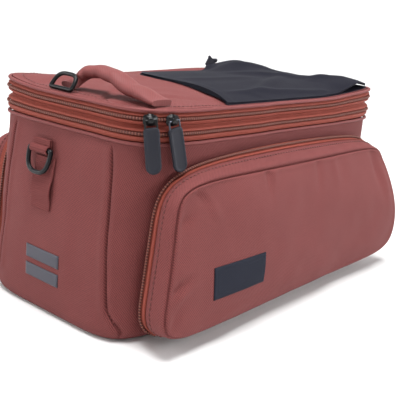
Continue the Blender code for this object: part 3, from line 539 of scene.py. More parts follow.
def ribbed_webbing(name, colour, pitch, contrast, roughness):
    """Woven strap: close ribs across the strap, drawn in colour as painted highlights on the ribs and painted
    shade in the lines between them.

    Real ribs are about 1 mm apart, and pitch draws them coarser, so that they show.
    """
    made, tree, shader = new_material(name, Roughness=roughness, Specular_IOR_Level=0.2)
    if tree is None:
        return made
    place = add_node(tree, "UVMap", uv_map="cloth_run")
    lines = {"Vector": place, "Scale": WAVE_PERIOD / pitch, "Distortion": 0.6, "Detail": 1.0}
    ribs = add_node(tree, "TexWave", lines, "Fac", wave_type="BANDS", bands_direction="Y")
    threads = add_node(tree, "TexNoise", {"Vector": place, "Scale": 1 / (1.1 * MM), "Detail": 2.0}, "Fac")
    weave = add_node(tree, "Mix", {0: 0.35, 2: ribs, 3: threads}, data_type="FLOAT")
    # Painted light: the ribs are drawn lighter and the lines between them darker, by the contrast.
    tones_and_painted_light = {0: weave, 6: shade(colour, 1 - contrast), 7: shade(colour, 1 + contrast)}
    tint = add_node(tree, "Mix", tones_and_painted_light, 2, data_type="RGBA")
    bumped = add_node(tree, "Bump", {"Height": weave, "Strength": 0.5, "Distance": 0.5 * MM})
    tree.links.new(tint, shader.inputs["Base Color"])
    tree.links.new(bumped, shader.inputs["Normal"])
    return made


def moulded_surface(name, colour, roughness, metallic=0.0, grain=0.15, spread=0.12, shine=0.25):
    """Moulded rubber, lacquered or plated wire: even colour with a fine grain and slight handling wear."""
    made, tree, shader = new_material(name, Metallic=metallic, Specular_IOR_Level=shine)
    if tree is None:
        return made
    place = add_node(tree, "TexCoord", output="Object")
    grains = add_node(tree, "TexNoise", {"Vector": place, "Scale": 1 / (0.9 * MM), "Detail": 2.0}, "Fac")
    wear = add_node(tree, "TexNoise", {"Vector": place, "Scale": 1 / (9 * MM), "Detail": 4.0}, "Fac")
    tones_and_painted_light = {0: wear, 6: shade(colour, 1 - spread), 7: shade(colour, 1 + spread)}
    tint = add_node(tree, "Mix", tones_and_painted_light, 2, data_type="RGBA")
    worn = {"Value": wear, **MIDDLE, "To Min": roughness * 0.85, "To Max": min(roughness * 1.15, 1)}
    rough = add_node(tree, "MapRange", worn)
    bumped = add_node(tree, "Bump", {"Height": grains, "Strength": grain, "Distance": 0.15 * MM})
    tree.links.new(tint, shader.inputs["Base Color"])
    tree.links.new(rough, shader.inputs["Roughness"])
    tree.links.new(bumped, shader.inputs["Normal"])
    return made


def coil_material():
    """Nylon zip coil on dyed tape: the crests of the teeth take the teeth colour, and the gaps between them
    are painted shade.
    """
    made, tree, shader = new_material("nylon_zip_coil", Roughness=0.5, Specular_IOR_Level=0.3)
    if tree is None:
        return made
    place = add_node(tree, "UVMap", uv_map="cloth_run")
    along = add_node(tree, "SeparateXYZ", {0: place})
    turns = add_node(tree, "Math", {0: along, 1: math.tau / sizes().tooth_pitch}, operation="MULTIPLY")
    crest = add_node(tree, "Math", {0: turns}, operation="COSINE")
    level = add_node(tree, "MapRange", {"Value": crest, "From Min": 0.0, "From Max": 0.9})
    # Painted shade: the gaps between the teeth get the tape colour at a quarter of its brightness.
    tones_and_painted_light = {0: level, 6: shade(colours().zip_tape, 0.25), 7: colours().zip_teeth}
    tree.links.new(add_node(tree, "Mix", tones_and_painted_light, 2, data_type="RGBA"), shader.inputs["Base Color"])
    return made


# Settings a user would change

COLOUR = {"subtype": "COLOR", "size": 4}
LENGTH = {"subtype": "DISTANCE"}


class RackBagColours(bpy.types.PropertyGroup):
    cloth: FloatVectorProperty(
        name="Cloth", description="Body, pocket and lid cloth", default=linear("#6B3534"), **COLOUR
    )
    zip_tape: FloatVectorProperty(
        name="Zip tape", description="Zip bands and pocket tapes", default=linear("#853F34"), **COLOUR
    )
    zip_teeth: FloatVectorProperty(
        name="Zip teeth", description="Crests of the zip coils", default=linear("#7E4A3E"), **COLOUR
    )
    cover: FloatVectorProperty(
        name="Stretch cover", description="Elastic cloth on the lid", default=linear("#191922"), **COLOUR
    )
    rubber: FloatVectorProperty(
        name="Pulls", description="Moulded zip pulls", default=linear("#1F2029"), **COLOUR
    )
    thread: FloatVectorProperty(
        name="Thread", description="Sewing thread", default=linear("#5E3331"), **COLOUR
    )


class RackBagSizes(bpy.types.PropertyGroup):
    thread_pitch: FloatProperty(
        name="Thread pitch", description="Drawn gap between threads", default=1.5 * MM, min=0.5 * MM, **LENGTH
    )
    tooth_pitch: FloatProperty(
        name="Tooth pitch", description="Distance between zip teeth", default=2.4 * MM, min=1.0 * MM, **LENGTH
    )
    stitch_pitch: FloatProperty(
        name="Stitch pitch", description="Distance between stitches", default=4.4 * MM, min=1.5 * MM, **LENGTH
    )
    stitch_radius: FloatProperty(
        name="Thread radius", description="Radius of sewing thread", default=0.6 * MM, min=0.1 * MM, **LENGTH
    )


def colours():
    return bpy.context.scene.rack_bag_colours


def sizes():
    return bpy.context.scene.rack_bag_sizes


def body_cloth():
    # Textured woven nylon with a matt coat: a diagonal twill shows, with light specks and no gloss.
    look = {"contrast": 0.34, "speckle": 0.4, "roughness": 0.8, "shine": 0.25, "relief": 0.7}
    return woven_cloth("rust_woven_nylon", colours().cloth, sizes().thread_pitch, **look)


def tape_cloth():
    # Woven polyester zip tape: flatter and a little smoother than the cloth.
    look = {"contrast": 0.12, "speckle": 0.3, "roughness": 0.7, "shine": 0.2, "relief": 0.25}
    return woven_cloth("orange_woven_tape", colours().zip_tape, 1.6 * MM, **look)


def piping_cloth():
    # The same cloth pulled tight round a cord or a pad, drawn 1.12 times as light as the cloth all over:
    # painted highlight for the light along its crown.
    look = {"contrast": 0.12, "speckle": 0.4, "roughness": 0.65, "shine": 0.3, "relief": 0.25}
    return woven_cloth("rust_cloth_piping", shade(colours().cloth, 1.12), 1.8 * MM, **look)


def cover_cloth():
    # Knitted elastic cloth: very smooth and dark, with hardly any shine along its folds.
    look = {"contrast": 0.06, "speckle": 0.6, "roughness": 0.7, "shine": 0.07, "relief": 0.12}
    return woven_cloth("knitted_stretch_cloth", colours().cover, 1.4 * MM, **look)


def rust_webbing():
    # Woven polyester webbing: darker than the cloth, with close cross ribs.
    return ribbed_webbing("rust_woven_webbing", shade(colours().cloth, 0.9), 1.7 * MM, 0.14, 0.85)


def thread_material():
    # Bonded polyester thread, slightly glossy.
    return moulded_surface("polyester_thread", colours().thread, 0.5, grain=0.1)


def black_wire():
    # Moulded acetal: deep black with a satin shine.
    return moulded_surface("moulded_black_ring", linear("#08080B"), 0.42, grain=0.05)


def cast_slider():
    # Die-cast slider with black lacquer: dark, worn slightly brighter where fingers rub.
    return moulded_surface("lacquered_cast_slider", linear("#08080B"), 0.32, grain=0.1, spread=0.3, shine=0.3)


def pull_rubber():
    # Soft moulded rubber, matt slate with a slight shine on its raised rim.
    return moulded_surface("moulded_slate_rubber", colours().rubber, 0.52, grain=0.25)


# Pieces


def hoop(offset, height, drift, turns=PLAN_TURNS):
    """A line right round the bag at an offset from its top outline, moved outward by drift."""
    ring = plan_ring(turns, TOP_HALF[0] + offset, TOP_HALF[1] + offset, height)
    return ring + plan_normal(turns) * drift[:, None]


def rim_drift(run):
    """The slow in-and-out of the sewn rim along its length. Everything on the rim shares it."""
    return waves(run, 5, (210 * MM, 118 * MM, 71 * MM, 43 * MM), (0.35 * MM, 0.35 * MM, 0.25 * MM, 0.15 * MM))


def band_half(low, high, low_offset, high_offset, belly):
    """Rows of a band above or below its zip: offset, height and share of the pucker."""
    rows = []
    for step in np.linspace(0, 1, 9):
        share = math.sin(math.pi * step)
        offset = low_offset + (high_offset - low_offset) * float(smooth(step)) + belly * share
        rows.append((offset, low + (high - low) * step, share))
    return rows


def make_band(name, low, high, coil, low_offset, high_offset):
    lip = 2.2 * MM
    rows = band_half(low, coil - lip, low_offset, SWELL, 0.5 * MM)
    shoulder, floor = SWELL - 0.5 * MM, -0.1 * MM
    for offset, rise in ((shoulder, -1.95), (floor, -1.7), (floor, 1.7), (shoulder, 1.95)):
        rows.append((offset, coil + rise * MM, 0))
    rows += band_half(coil + lip, high, SWELL, high_offset, 0.4 * MM)
    rows += [(high_offset - BAND_WALL, high, 0), (low_offset - BAND_WALL, low, 0)]
    drift = rim_drift(PLAN_RUN)
    pucker = waves(PLAN_RUN, 9, (8.5 * MM, 13 * MM), (0.12 * MM, 0.12 * MM))
    rings = np.stack([hoop(offset, z, drift + pucker * share) for offset, z, share in rows])
    add_piece(name + "_cloth", solid_mesh(name, rings, closed=True, sharp=50), tape_cloth(), name)


# Points along a coil for each tooth, and round it
TOOTH_POINTS = 4
COIL_SIDES = 8


def add_teeth(name, node, centre, radius, gap, side_hint, closed):
    """A zip coil along a line, as thick as radius at each tooth and as gap between two."""
    crest = np.clip(0.5 + 0.62 * np.cos(math.tau * np.arange(len(centre)) / TOOTH_POINTS), 0, 1)
    rings = tube_points(centre, gap + (radius - gap) * crest, COIL_SIDES, side_hint, closed)
    along, around = np.indices((len(centre) + closed, COIL_SIDES + 1))
    cloth_run = np.stack([along * sizes().tooth_pitch / TOOTH_POINTS, around * MM], -1)
    add_piece(name, solid_mesh(node, rings, closed, cloth_run), coil_material(), node)


def make_coil(name, height):
    length = PLAN_RUN[-1] * PLAN_COLUMNS / (PLAN_COLUMNS - 1)
    turns, run = even_turns(round(length / sizes().tooth_pitch) * TOOTH_POINTS)
    centre = hoop(COIL_OFFSET, height, rim_drift(run), turns)
    add_teeth(name + "_teeth", name, centre, COIL_RADIUS, 0.85 * MM, (0, 0, 1), True)


def make_piping(name, height, seed):
    turns, run = even_turns(900)
    centre = hoop(PIPING_OFFSET, height, rim_drift(run), turns)
    radius = PIPING_RADIUS - 0.06 * MM + waves(run, seed, (6.4 * MM, 10 * MM), (0.03 * MM, 0.03 * MM))
    mesh = wire_ring(name, centre, radius, 12, (0, 0, 1))
    add_piece(name + "_cord", mesh, piping_cloth(), name)


def near_end_seams(points):
    return 1 + 7 * bump(np.abs(points[:, 1]) - 68 * MM, 12 * MM) * (np.abs(points[:, 0]) > 150 * MM)


def make_body_shell():
    turns, _ = even_turns(760, near_end_seams)
    walls = []
    for inset, steps, levels in ((0, 10, 60), (BODY_WALL, 4, 8)):
        rows = []
        for turn in np.linspace(0, math.pi / 2, steps + 1):
            rows.append((inset + (FOOT_HEIGHT - inset) * (1 - math.cos(turn)), 1 - math.sin(turn)))
        rows += [(height, 0) for height in np.linspace(FOOT_HEIGHT, BODY_TOP, levels + 1)[1:]]
        rings = []
        for height, pull in rows:
            length, width, bulge = body_half(height / BODY_TOP)
            half = length - inset - FOOT_END * pull, width - inset - FOOT_SIDE * pull
            rings.append(plan_ring(turns, *half, height, bulge))
        rings = np.stack(rings)
        walls.append(rings + plan_normal(turns) * body_relief(rings)[..., None])
    mesh = solid_mesh("body_shell", np.concatenate([walls[0], walls[1][::-1]]), sharp=60)
    add_piece("body_cloth", mesh, body_cloth(), "body_shell")


# Creases of the bare lid: start and end in millimetres seen from above, depth and half width
LID_CREASES = (
    (-184, -36, -130, -4, 2.8, 3.5),
    (-185, -46, -178, -72, 2.4, 3),
    (-150, -26, -112, -72, 2.4, 5),
    (-178, 46, -110, 62, 2.2, 6),
)
# Where the handle's ends are sewn on, in millimetres seen from above
HANDLE_FEET = ((-181, 8), (-168, -84))


def lid_relief(x, y):
    """Soft hollows of the bare cloth at the lid's rear. It only sinks, and not under the handle's ends."""
    rear = ramp(x, -52 * MM, -80 * MM)
    feet = [bump(np.hypot(x - foot_x * MM, y - foot_y * MM), 14 * MM) for foot_x, foot_y in HANDLE_FEET]
    hollow = 0.5 * MM + cloth_noise(x, y, 31, 26 * MM, 0.9 * MM) + cloth_noise(x, y, 32, 12 * MM, 0.4 * MM)
    sunk = np.clip(hollow + fold_height(x, y, LID_CREASES), 0, 2.8 * MM)
    edge = ramp(np.maximum(np.abs(x) / LID_HALF[0], np.abs(y) / LID_HALF[1]), 0.99, 0.95)
    return -sunk * rear * edge * (1 - np.maximum(*feet))


def make_lid_panel():
    shares = np.concatenate([np.linspace(1, 0.9, 9), np.linspace(0.88, 0.02, 34)])
    sides = []
    for drop in (0, LID_WALL):
        rings = []
        for share in shares:
            height = LID_EDGE_Z - drop + LID_DOME * (1 - max(share, LID_FLAT_SHARE) ** LID_DOME_POWER)
            ring = plan_ring(PLAN_TURNS, LID_HALF[0] * share, LID_HALF[1] * share, height)
            ring[:, 2] += lid_relief(ring[:, 0], ring[:, 1])
            rings.append(ring)
        sides.append(np.stack(rings))
    points = np.concatenate([sides[0][::-1], sides[1]])
    mesh = solid_mesh("lid_panel", points, cloth_run=once_more(points)[..., :2], sharp=60)
    add_piece("lid_cloth", mesh, body_cloth(), "lid_panel")


COVER_RISE = 15 * MM
COVER_HALF = (191.3 * MM, 95.3 * MM)
COVER_END = 187.5 * MM
COVER_CORNER_PULL = 9 * MM
COVER_WALL = 1.5 * MM
# How high the cover stands, as a share of its rise. Rows follow its length, and columns its width.
COVER_ROWS = (0.0, 0.2, 0.45, 0.68, 0.86, 1.0)
COVER_COLUMNS = (-1.0, -0.7, -0.3, 0.1, 0.5, 0.82, 1.0)
COVER_TABLE = (
    (0.00, 0.00, 0.00, 0.00, 0.00, 0.00, 0.00),
    (0.00, 0.03, 0.05, 0.03, 0.00, 0.00, 0.00),
    (0.00, 0.10, 0.14, 0.12, 0.06, 0.00, 0.00),
    (0.00, 0.14, 0.22, 0.42, 0.88, 0.46, 0.10),
    (0.42, 0.40, 0.29, 0.24, 0.66, 0.78, 0.40),
    (0.04, 0.10, 0.06, 0.05, 0.14, 0.16, 0.00),
)
# Soft folds of the stretch cover: start and end in millimetres seen from above, height and half width
COVER_FOLDS = (
    (104, -20, -34, -79, 3.2, 8),
    (-70, -66, 80, -86, 2.2, 6),
    (150, -66, 60, 20, 2.4, 9),
    (178, -6, 96, 44, 2.0, 9),
    (-60, 4, 50, -14, 1.4, 10),
    (176, -40, 110, -52, 1.8, 7),
)


def fold_height(x, y, folds):
    total = np.zeros_like(x)
    for x0, y0, x1, y1, height, width in folds:
        start, end = np.array([x0, y0]) * MM, np.array([x1, y1]) * MM
        span = end - start
        share = ((x - start[0]) * span[0] + (y - start[1]) * span[1]) / span.dot(span)
        near = np.clip(share, 0, 1)
        away = np.hypot(x - start[0] - near * span[0], y - start[1] - near * span[1])
        total += height * MM * bump(away, width * MM) * np.sin(math.pi * np.clip(0.15 + 0.7 * near, 0, 1))
    return total


def cover_grid(rows, columns):
    """Shares of the cover's length and width, closer together at its sides."""
    return np.meshgrid(
        np.linspace(0, 1, rows), np.sin(np.linspace(-math.pi / 2, math.pi / 2, columns)), indexing="ij"
    )


def cover_place(along, across, out=0.0, corner_pull=COVER_CORNER_PULL):
    """Plan of the cover. Its curved seam is at along 0, and its far edge draws in from the rim toward it.

    out widens it all round, and corner_pull draws in the corners of its open end.
    """
    seam = -60 * MM + np.where(across < 0, -36 * MM, 34 * MM) * across * across - out
    end = COVER_END + out - corner_pull * across**4
    x = seam + (end - seam) * along
    half = (COVER_HALF[1] + out) * squared_off(np.minimum(np.abs(x) / (COVER_HALF[0] + out), 1))
    drawn_in = 0.22 * ramp(across, 0.3, 1) * ramp(x, 118 * MM, 70 * MM)
    return x, half * (1 - drawn_in) * across


def cover_height(along, across):
    """The cover's underside."""
    x, y = cover_place(along, across)
    lines = []
    for column in zip(*COVER_TABLE):
        rows = list(zip(COVER_ROWS, column))
        lines.append(0.3 * eased_table(rows, along) + 0.7 * flowing_table(rows, along))
    at, lines = np.array(COVER_COLUMNS), np.stack(lines)
    slopes = flow_slopes(at, lines)
    place = np.clip(np.searchsorted(at, across) - 1, 0, len(at) - 2)
    span = at[place + 1] - at[place]
    here, after = [(row, *np.indices(along.shape)) for row in (place, place + 1)]
    tilts = slopes[here] * span, slopes[after] * span
    share = curve_between(lines[here], lines[after], *tilts, (across - at[place]) / span)
    rise = COVER_RISE * np.clip(share, 0, 1.02)
    down = ramp(along, 1.0, 0.9)
    free = smooth(rise / (2.5 * MM)) * ramp(np.abs(across), 1.0, 0.9)
    folds = fold_height(x, y, COVER_FOLDS) * down * smooth(along / 0.15) * ramp(np.abs(across), 1.0, 0.88)
    crumple = cloth_noise(x, y, 44, 30 * MM, 0.7 * MM) * free * down
    slack = 0.15 * lid_lift(x, y, LID_EDGE_Z) * (0.3 + 0.7 * down)
    return x, y, lid_top(x, y) + TOUCH_GAP + slack + np.maximum(rise + folds + crumple, 0)


def add_cover_cloth(name, high, low, node=None, sharp=None):
    """Adds a sheet between its upper and lower face, and returns it with its area in square metres."""
    rings = np.concatenate([high, low[:, ::-1]], 1)
    mesh = solid_mesh(name, rings, cloth_run=once_more(rings)[..., :2], sharp=sharp)
    corner = high[:-1, :-1]
    area = np.linalg.norm(np.cross(high[1:, :-1] - corner, high[:-1, 1:] - corner), axis=2).sum()
    return add_piece(name, mesh, cover_cloth(), node), round(float(area), 4)


def make_cover():
    along, across = cover_grid(120, 110)
    x, y, z = cover_height(along, across)
    hem = 0.5 * MM * ramp(along, 0.945, 0.955) + 0.35 * MM * ramp(along, 0.045, 0.035)
    high, low = np.stack([x, y, z + COVER_WALL + hem], -1), np.stack([x, y, z], -1)
    made, area = add_cover_cloth("stretch_cover", high, low, "lid_cover", 60)


def make_cover_shade_sheet():
    """A thin dark sheet on the lid, painted shade standing in for the shade under the cover, that shows at
    the open hem and beside the cover.
    """
    x, y = cover_place(*cover_grid(90, 60), 1.2 * MM, 0)
    high, low = [np.stack([x, y, lid_top(x, y) + lift * MM], -1) for lift in (0.24, 0.04)]
    made, area = add_cover_cloth("cover_painted_shade_sheet", high, low)


def make_cover_tab():
    """The doubled webbing end that stands beside the cover at the far rim."""
    low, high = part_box("cover_tab")
    half_width, half_fold, reach = 7.5 * MM, 0.38 * MM, 0.4 * MM
    y = (low[1] + high[1]) / 2
    lean = math.tan(math.radians(35))
    foot = max(low[2] + 0.2 * MM, float(lid_top(low[0] + half_width, y)) + 0.2 * MM)
    start = np.array([low[0] + half_width, y - half_fold, foot])
    climb = [start + np.array([lean * h, 0, h]) for h in np.linspace(0, high[2] - foot - 0.9 * MM, 12)]
    fold = []
    for t in np.linspace(0, math.pi, 9)[1:-1]:
        rise = reach * math.sin(t)
        fold.append(climb[-1] + np.array([lean * rise, half_fold * (1 - math.cos(t)), rise]))
    back = [point + np.array([0, 2 * half_fold, 0]) for point in climb[::-1]]
    mesh = strap_mesh("cover_tab", np.array(climb + fold + back), (1, 0, 0), 2 * half_width, 0.62 * MM)
    # Woven black webbing: its ribs show as fine pale lines of painted highlight, with painted shade between
    # them.
    finish = ribbed_webbing("black_woven_webbing", linear("#33323A"), 1.6 * MM, 0.3, 0.75)
    add_piece("cover_webbing_end", mesh, finish, "cover_tab")


# Points that pull the handle's curve, in millimetres from above, and its arch as shares of length and rise
HANDLE_PULLS = ((-181, 8), (-158, 8), (-168, -40), (-168, -86))
HANDLE_ARCH = ((0.0, 0.0), (0.1, 0.12), (0.3, 0.86), (0.44, 1.0), (0.58, 0.8), (0.78, 0.04), (1.0, 0.0))


def handle_plan(share):
    weights = np.stack([(1 - share) ** 3, 3 * share * (1 - share) ** 2, 3 * share**2 * (1 - share), share**3])
    return np.einsum("ks,kc->sc", weights, np.array(HANDLE_PULLS)) * MM


def handle_section(share):
    padded = smooth(np.minimum(share, 1 - share) / 0.22)
    foot = np.where(share < 0.5, 21.5, 22.0)
    return (foot + (21 - foot) * padded) * MM, (5 + 6 * padded) * MM


def handle_centre(share):
    place = handle_plan(share)
    _, thickness = handle_section(share)
    foot = lid_top(place[:, 0] + 10.5 * MM, place[:, 1]) + 0.5 * MM + thickness / 2
    arch = 0.5 * eased_table(HANDLE_ARCH, share) + 0.5 * np.maximum(flowing_table(HANDLE_ARCH, share), 0)
    return np.column_stack([place, foot + 10 * MM * arch])


def handle_frame(share):
    centre = handle_centre(share)
    along = handle_centre(np.minimum(share + 0.02, 1)) - handle_centre(np.maximum(share - 0.02, 0))
    along[:, 2] *= ramp(np.minimum(share, 1 - share), 0.0, 0.07)
    across = unit(np.cross(unit(along), (0, 0, 1)))
    return centre, across, np.cross(across, unit(along))


def make_handle():
    share = np.linspace(0, 1, 130)
    centre, across, rise = handle_frame(share)
    width, thickness = handle_section(share)
    turn = math.tau * np.arange(44) / 44
    padded = smooth(np.minimum(share, 1 - share) / 0.22)
    power = (0.6 + 0.3 * padded)[:, None]
    wide, tall = [signed_power(part[None], power) for part in (np.cos(turn), np.sin(turn))]
    run = share * 110 * MM
    pinch = 1 - 0.05 * bump((share - 0.17) / 0.02, 1) - 0.05 * bump((share - 0.84) / 0.02, 1)
    soft = 1 + 0.03 * np.sin(math.tau * run[:, None] / (17 * MM) + turn[None] * 2) * padded[:, None]
    points = centre[:, None] + across[:, None] * (wide * (width / 2 * pinch)[:, None] * soft)[..., None]
    points = points + rise[:, None] * (tall * (thickness / 2)[:, None] * np.minimum(soft, 1.02))[..., None]
    mesh = solid_mesh("handle", points, sharp=70)
    # The handle wears the piping cloth, whose lighter colour is a painted highlight.
    made = add_piece("padded_handle", mesh, piping_cloth(), "handle")


def ring_path(drop, half_width, corner):
    """A D-shaped ring that hangs from its straight bar."""
    points = []
    for turn in np.linspace(0, math.pi, 25):
        y = half_width * math.copysign(abs(math.cos(turn)) ** corner, math.cos(turn))
        points.append((0, y, -drop * abs(math.sin(turn)) ** corner))
    return even_path(points, 110, closed=True)


def placed(path, matrix):
    turned = np.array(matrix.to_3x3())
    return path @ turned.T + np.array(matrix.translation)


def add_ring(name, node, path, matrix, radius, finish, body="bag"):
    hint = np.array(matrix.to_3x3() @ Vector((1, 0, 0)))
    mesh = wire_ring(name, placed(path, matrix), radius, 18, hint)
    add_piece(name, mesh, finish, node, body)


def make_handle_ring():
    start, ahead = handle_plan(np.array([0.0, 0.02]))
    heading = ahead - start
    heading /= np.linalg.norm(heading)
    place = start - heading * 9 * MM
    ends = [place + np.array([-heading[1], heading[0]]) * side * 15.5 * MM for side in (-1, 1)]
    bar = max(float(lid_top(*point)) for point in (place, *ends))
    centre = Vector((*place, bar + TOUCH_GAP + 1.8 * MM))
    aim = Matrix.Rotation(math.atan2(heading[1], heading[0]), 4, "Z")
    matrix = Matrix.Translation(centre) @ aim @ Matrix.Rotation(-math.radians(145), 4, "Y")
    add_ring("lid_ring", "handle_ring", ring_path(14 * MM, 13.7 * MM, 0.6), matrix, 1.8 * MM, black_wire())


RING_AXIS = np.array([-201.92, 17, 145]) * MM


def make_rear_ring():
    matrix = Matrix.Translation(RING_AXIS) @ Matrix.Rotation(math.radians(12), 4, "Y")
    # Lacquered steel wire: dark with a blue cast and a narrow shine along it.
    finish = moulded_surface("lacquered_steel_wire", linear("#0B0C10"), 0.42, grain=0.05)
    path = ring_path(20 * MM, 14 * MM, 0.7)
    add_ring("strap_ring", "rear_ring", path, matrix, 2 * MM, finish, "rear_ring")


def make_ring_tab():
    """Webbing folded round the ring's bar, with both its ends sewn to the bag above."""
    radius, top = 3.0 * MM, 9 * MM
    path = [(radius, 0, top)]
    for turn in np.linspace(math.radians(20), math.radians(-290), 40):
        path.append((radius * math.cos(turn), 0, radius * math.sin(turn)))
    path.append((2.4 * MM - TOUCH_GAP - 0.6 * MM, 0, top))
    mesh = strap_mesh("ring_tab", even_path(path, 70) + RING_AXIS, (0, 1, 0), 22 * MM, 1.15 * MM, 13)
    add_piece("ring_webbing", mesh, rust_webbing(), "ring_tab")


def make_light_loop():
    heights = np.linspace(94, 139, 90)
    away = 2.2 * ramp(heights, 99, 110) * ramp(heights, 126, 113)
    z = heights * MM
    x = -(end_wall_x(np.zeros_like(z), z) + 0.35 * MM + 0.8 * MM + away * MM)
    path = np.stack([x, np.full_like(z, 12 * MM), z], 1)
    mesh = strap_mesh("light_loop", path, (0, 1, 0), 25 * MM, 1.5 * MM, 13)
    add_piece("light_strap", mesh, rust_webbing(), "light_loop")


# The reflective bars: length, width and how far they lie to the side, in millimetres, and the height of each
BAR_SIZE = (44, 12)
BAR_SIDE = 6
BAR_HEIGHTS = {"rear_patch_a": 35.5, "rear_patch_b": 52.5}


def make_rear_patches():
    # Reflective film on cloth: plain dark grey with a fine glitter, and its edges turned down.
    finish = moulded_surface("grey_reflective_film", linear("#403F48"), 0.42, grain=0.5, spread=0.08)
    length, width = BAR_SIZE
    for name, height in BAR_HEIGHTS.items():
        across = (BAR_SIDE + length * np.linspace(-0.5, 0.5, 33)) * MM
        tall = (height + width * np.linspace(-0.5, 0.5, 13)) * MM
        y, z = np.meshgrid(across, tall, indexing="ij")
        off_y, off_z = np.abs(y - BAR_SIDE * MM), np.abs(z - height * MM)
        edge = np.minimum(length / 2 * MM - off_y, width / 2 * MM - off_z)
        lift = 0.3 * MM + 0.75 * MM * np.sqrt(np.clip(edge / (1.2 * MM), 0.02, 1))
        outer, inner = [np.stack([-(end_wall_x(y, z) + rise), y, z], -1) for rise in (lift, 0.3 * MM)]
        mesh = solid_mesh(name, np.concatenate([outer, inner[:, ::-1]], 1))
        add_piece(name + "_film", mesh, finish, name)


# Pockets


def front_fill(x, z):
    return ramp(x, 40 * MM, 190 * MM) * np.sin(math.pi * np.clip(z / (125 * MM), 0, 1))


def pocket_turn(direction):
    """The pocket outline's own angle in each direction, squarer below than above."""
    power = np.where(np.sin(direction) > 0, 2.5, 4.0)
    return np.arctan2(signed_power(np.sin(direction), power), signed_power(np.cos(direction), power))


def pocket_flat(direction, share, inset=0.0):
    squareness = np.where(np.sin(direction) > 0, 5.4 + 3.6 * share, 8.0)
    across, upward = unit_plan(direction, squareness)
    turn = pocket_turn(direction)
    level = (upward + 1) / 2
    low = 182 + 16 * share
    high = 172 + 4 * share
    x = (low + (high - low) * level) * across * MM
    top = 147 - 7 * share + 8 * (1 - share) * (1 - across**2)
    bottom = 4.5 + 9.5 * share
    z = (bottom + (top - bottom) * level) * MM
    x = x + 8 * MM * share * front_fill(x, z)
    bow = np.where(share < 0.5, 2 * share, np.sin(math.pi * share))
    swell = 3.5 * MM * bow - inset
    return np.stack([x + np.cos(turn) * swell, z + np.sin(turn) * swell], -1)


def pocket_edge_depth(x, z):
    share = np.clip(z / (140 * MM), 0, 1)
    return (35 - 13 * share**1.6 + 10 * front_fill(x, z)) * MM


def gusset_point(direction, share, side, inset=0.0):
    """Up to half way the gusset is straight, as the zip tape needs, and beyond that it rounds over."""
    def at(part):
        flat = pocket_flat(direction, part, inset)
        wall = side_wall_y(flat[..., 0], flat[..., 1]) + TOUCH_GAP
        edge = LOW_HALF[1] + pocket_edge_depth(flat[..., 0], flat[..., 1]) - inset
        return np.stack([flat[..., 0], side * (wall + (edge - wall) * part), flat[..., 1]], -1)

    if share < 0.5:
        return at(0.0) + (at(0.5) - at(0.0)) * share * 2
    return at(share)


POCKET_MIDDLE = np.array([0, 75.75]) * MM
POCKET_COLUMNS = 360


def pocket_directions(count):
    dense = np.linspace(0, math.tau, 12001)
    run = run_along(pocket_flat(dense, 1.0))
    return np.interp(run[-1] * np.arange(count) / count, run, dense)


# Dents of the pocket's face: x, z, angle in degrees, half length, half width and height, in millimetres
FACE_DENTS = (
    (-172, 112, 20, 9, 5, -2.2),
    (-150, 128, -40, 12, 3.5, -1.6),
    (-138, 118, -55, 14, 4, 1.2),
    (-182, 60, 25, 12, 3, -2.4),
    (-176, 54, 25, 12, 3, 1.6),
    (-59, 134, 88, 16, 5, -1.6),
    (-48, 137, 70, 10, 4, 1.0),
    (29, 132, 82, 18, 6, -1.4),
    (60, 128, 100, 16, 6, 1.0),
    (152, 118, 110, 26, 7, -2.2),
    (168, 104, 105, 24, 6, 1.4),
    (-120, 20, 5, 30, 6, 1.0),
    (20, 28, 0, 60, 9, 1.0),
    (120, 60, 40, 40, 16, -1.2),
    (-20, 85, 10, 60, 22, -0.9),
    (80, 95, -15, 40, 14, 1.0),
    (-185, 30, 60, 16, 4, -1.5),
)


# The label on the near pocket: its middle and its size in millimetres
LABEL_MIDDLE = (-104, 55)
LABEL_SIZE = (70, 28)


def face_relief(x, z):
    total = cloth_noise(x, z, 61, 42 * MM, 1.3 * MM) + cloth_noise(x, z, 62, 18 * MM, 0.5 * MM)
    for px, pz, angle, long, wide, height in FACE_DENTS:
        turn = math.radians(angle)
        u = (x - px * MM) * math.cos(turn) + (z - pz * MM) * math.sin(turn)
        v = -(x - px * MM) * math.sin(turn) + (z - pz * MM) * math.cos(turn)
        total = total + 1.4 * height * MM * bump(u, long * MM) * bump(v, wide * MM)
    off_x, off_z = np.abs(x - LABEL_MIDDLE[0] * MM), np.abs(z - LABEL_MIDDLE[1] * MM)
    return total * ramp(np.maximum(off_x / 46, off_z / 24), 0.85 * MM, 1.1 * MM)


def face_depth(flat, share, side):
    """How far the crowned face stands out, with its dents on the near side."""
    x, z = flat[..., 0], flat[..., 1]
    crown = 8 * MM * (1 - share**2.2)
    relief = face_relief(x if side < 0 else -x, z) * ramp(share, 1.0, 0.94)
    return LOW_HALF[1] + pocket_edge_depth(x, z) + crown + relief


# Distances from the face's seam at which the rows lie, close together where the cloth dips into it
SEAM_STEPS = np.array([0.0, 0.35, 0.7, 1.05, 1.5, 2.1, 3.0, 4.2, 6.0, 8.5]) * MM
GUSSET_DEPTH = 35 * MM


def seam_shift(away, out, across):
    """The cloth's dip into the seam. out and across are both unit directions."""
    dip = -2.6 * MM * bump(away, 0.9 * MM)
    return (out + across) * np.asarray(dip / math.sqrt(2))[..., None]


def seam_ridge(away):
    """The soft ridge beside the seam."""
    return 0.6 * MM * bump(away - 3.6 * MM, 2.0 * MM)


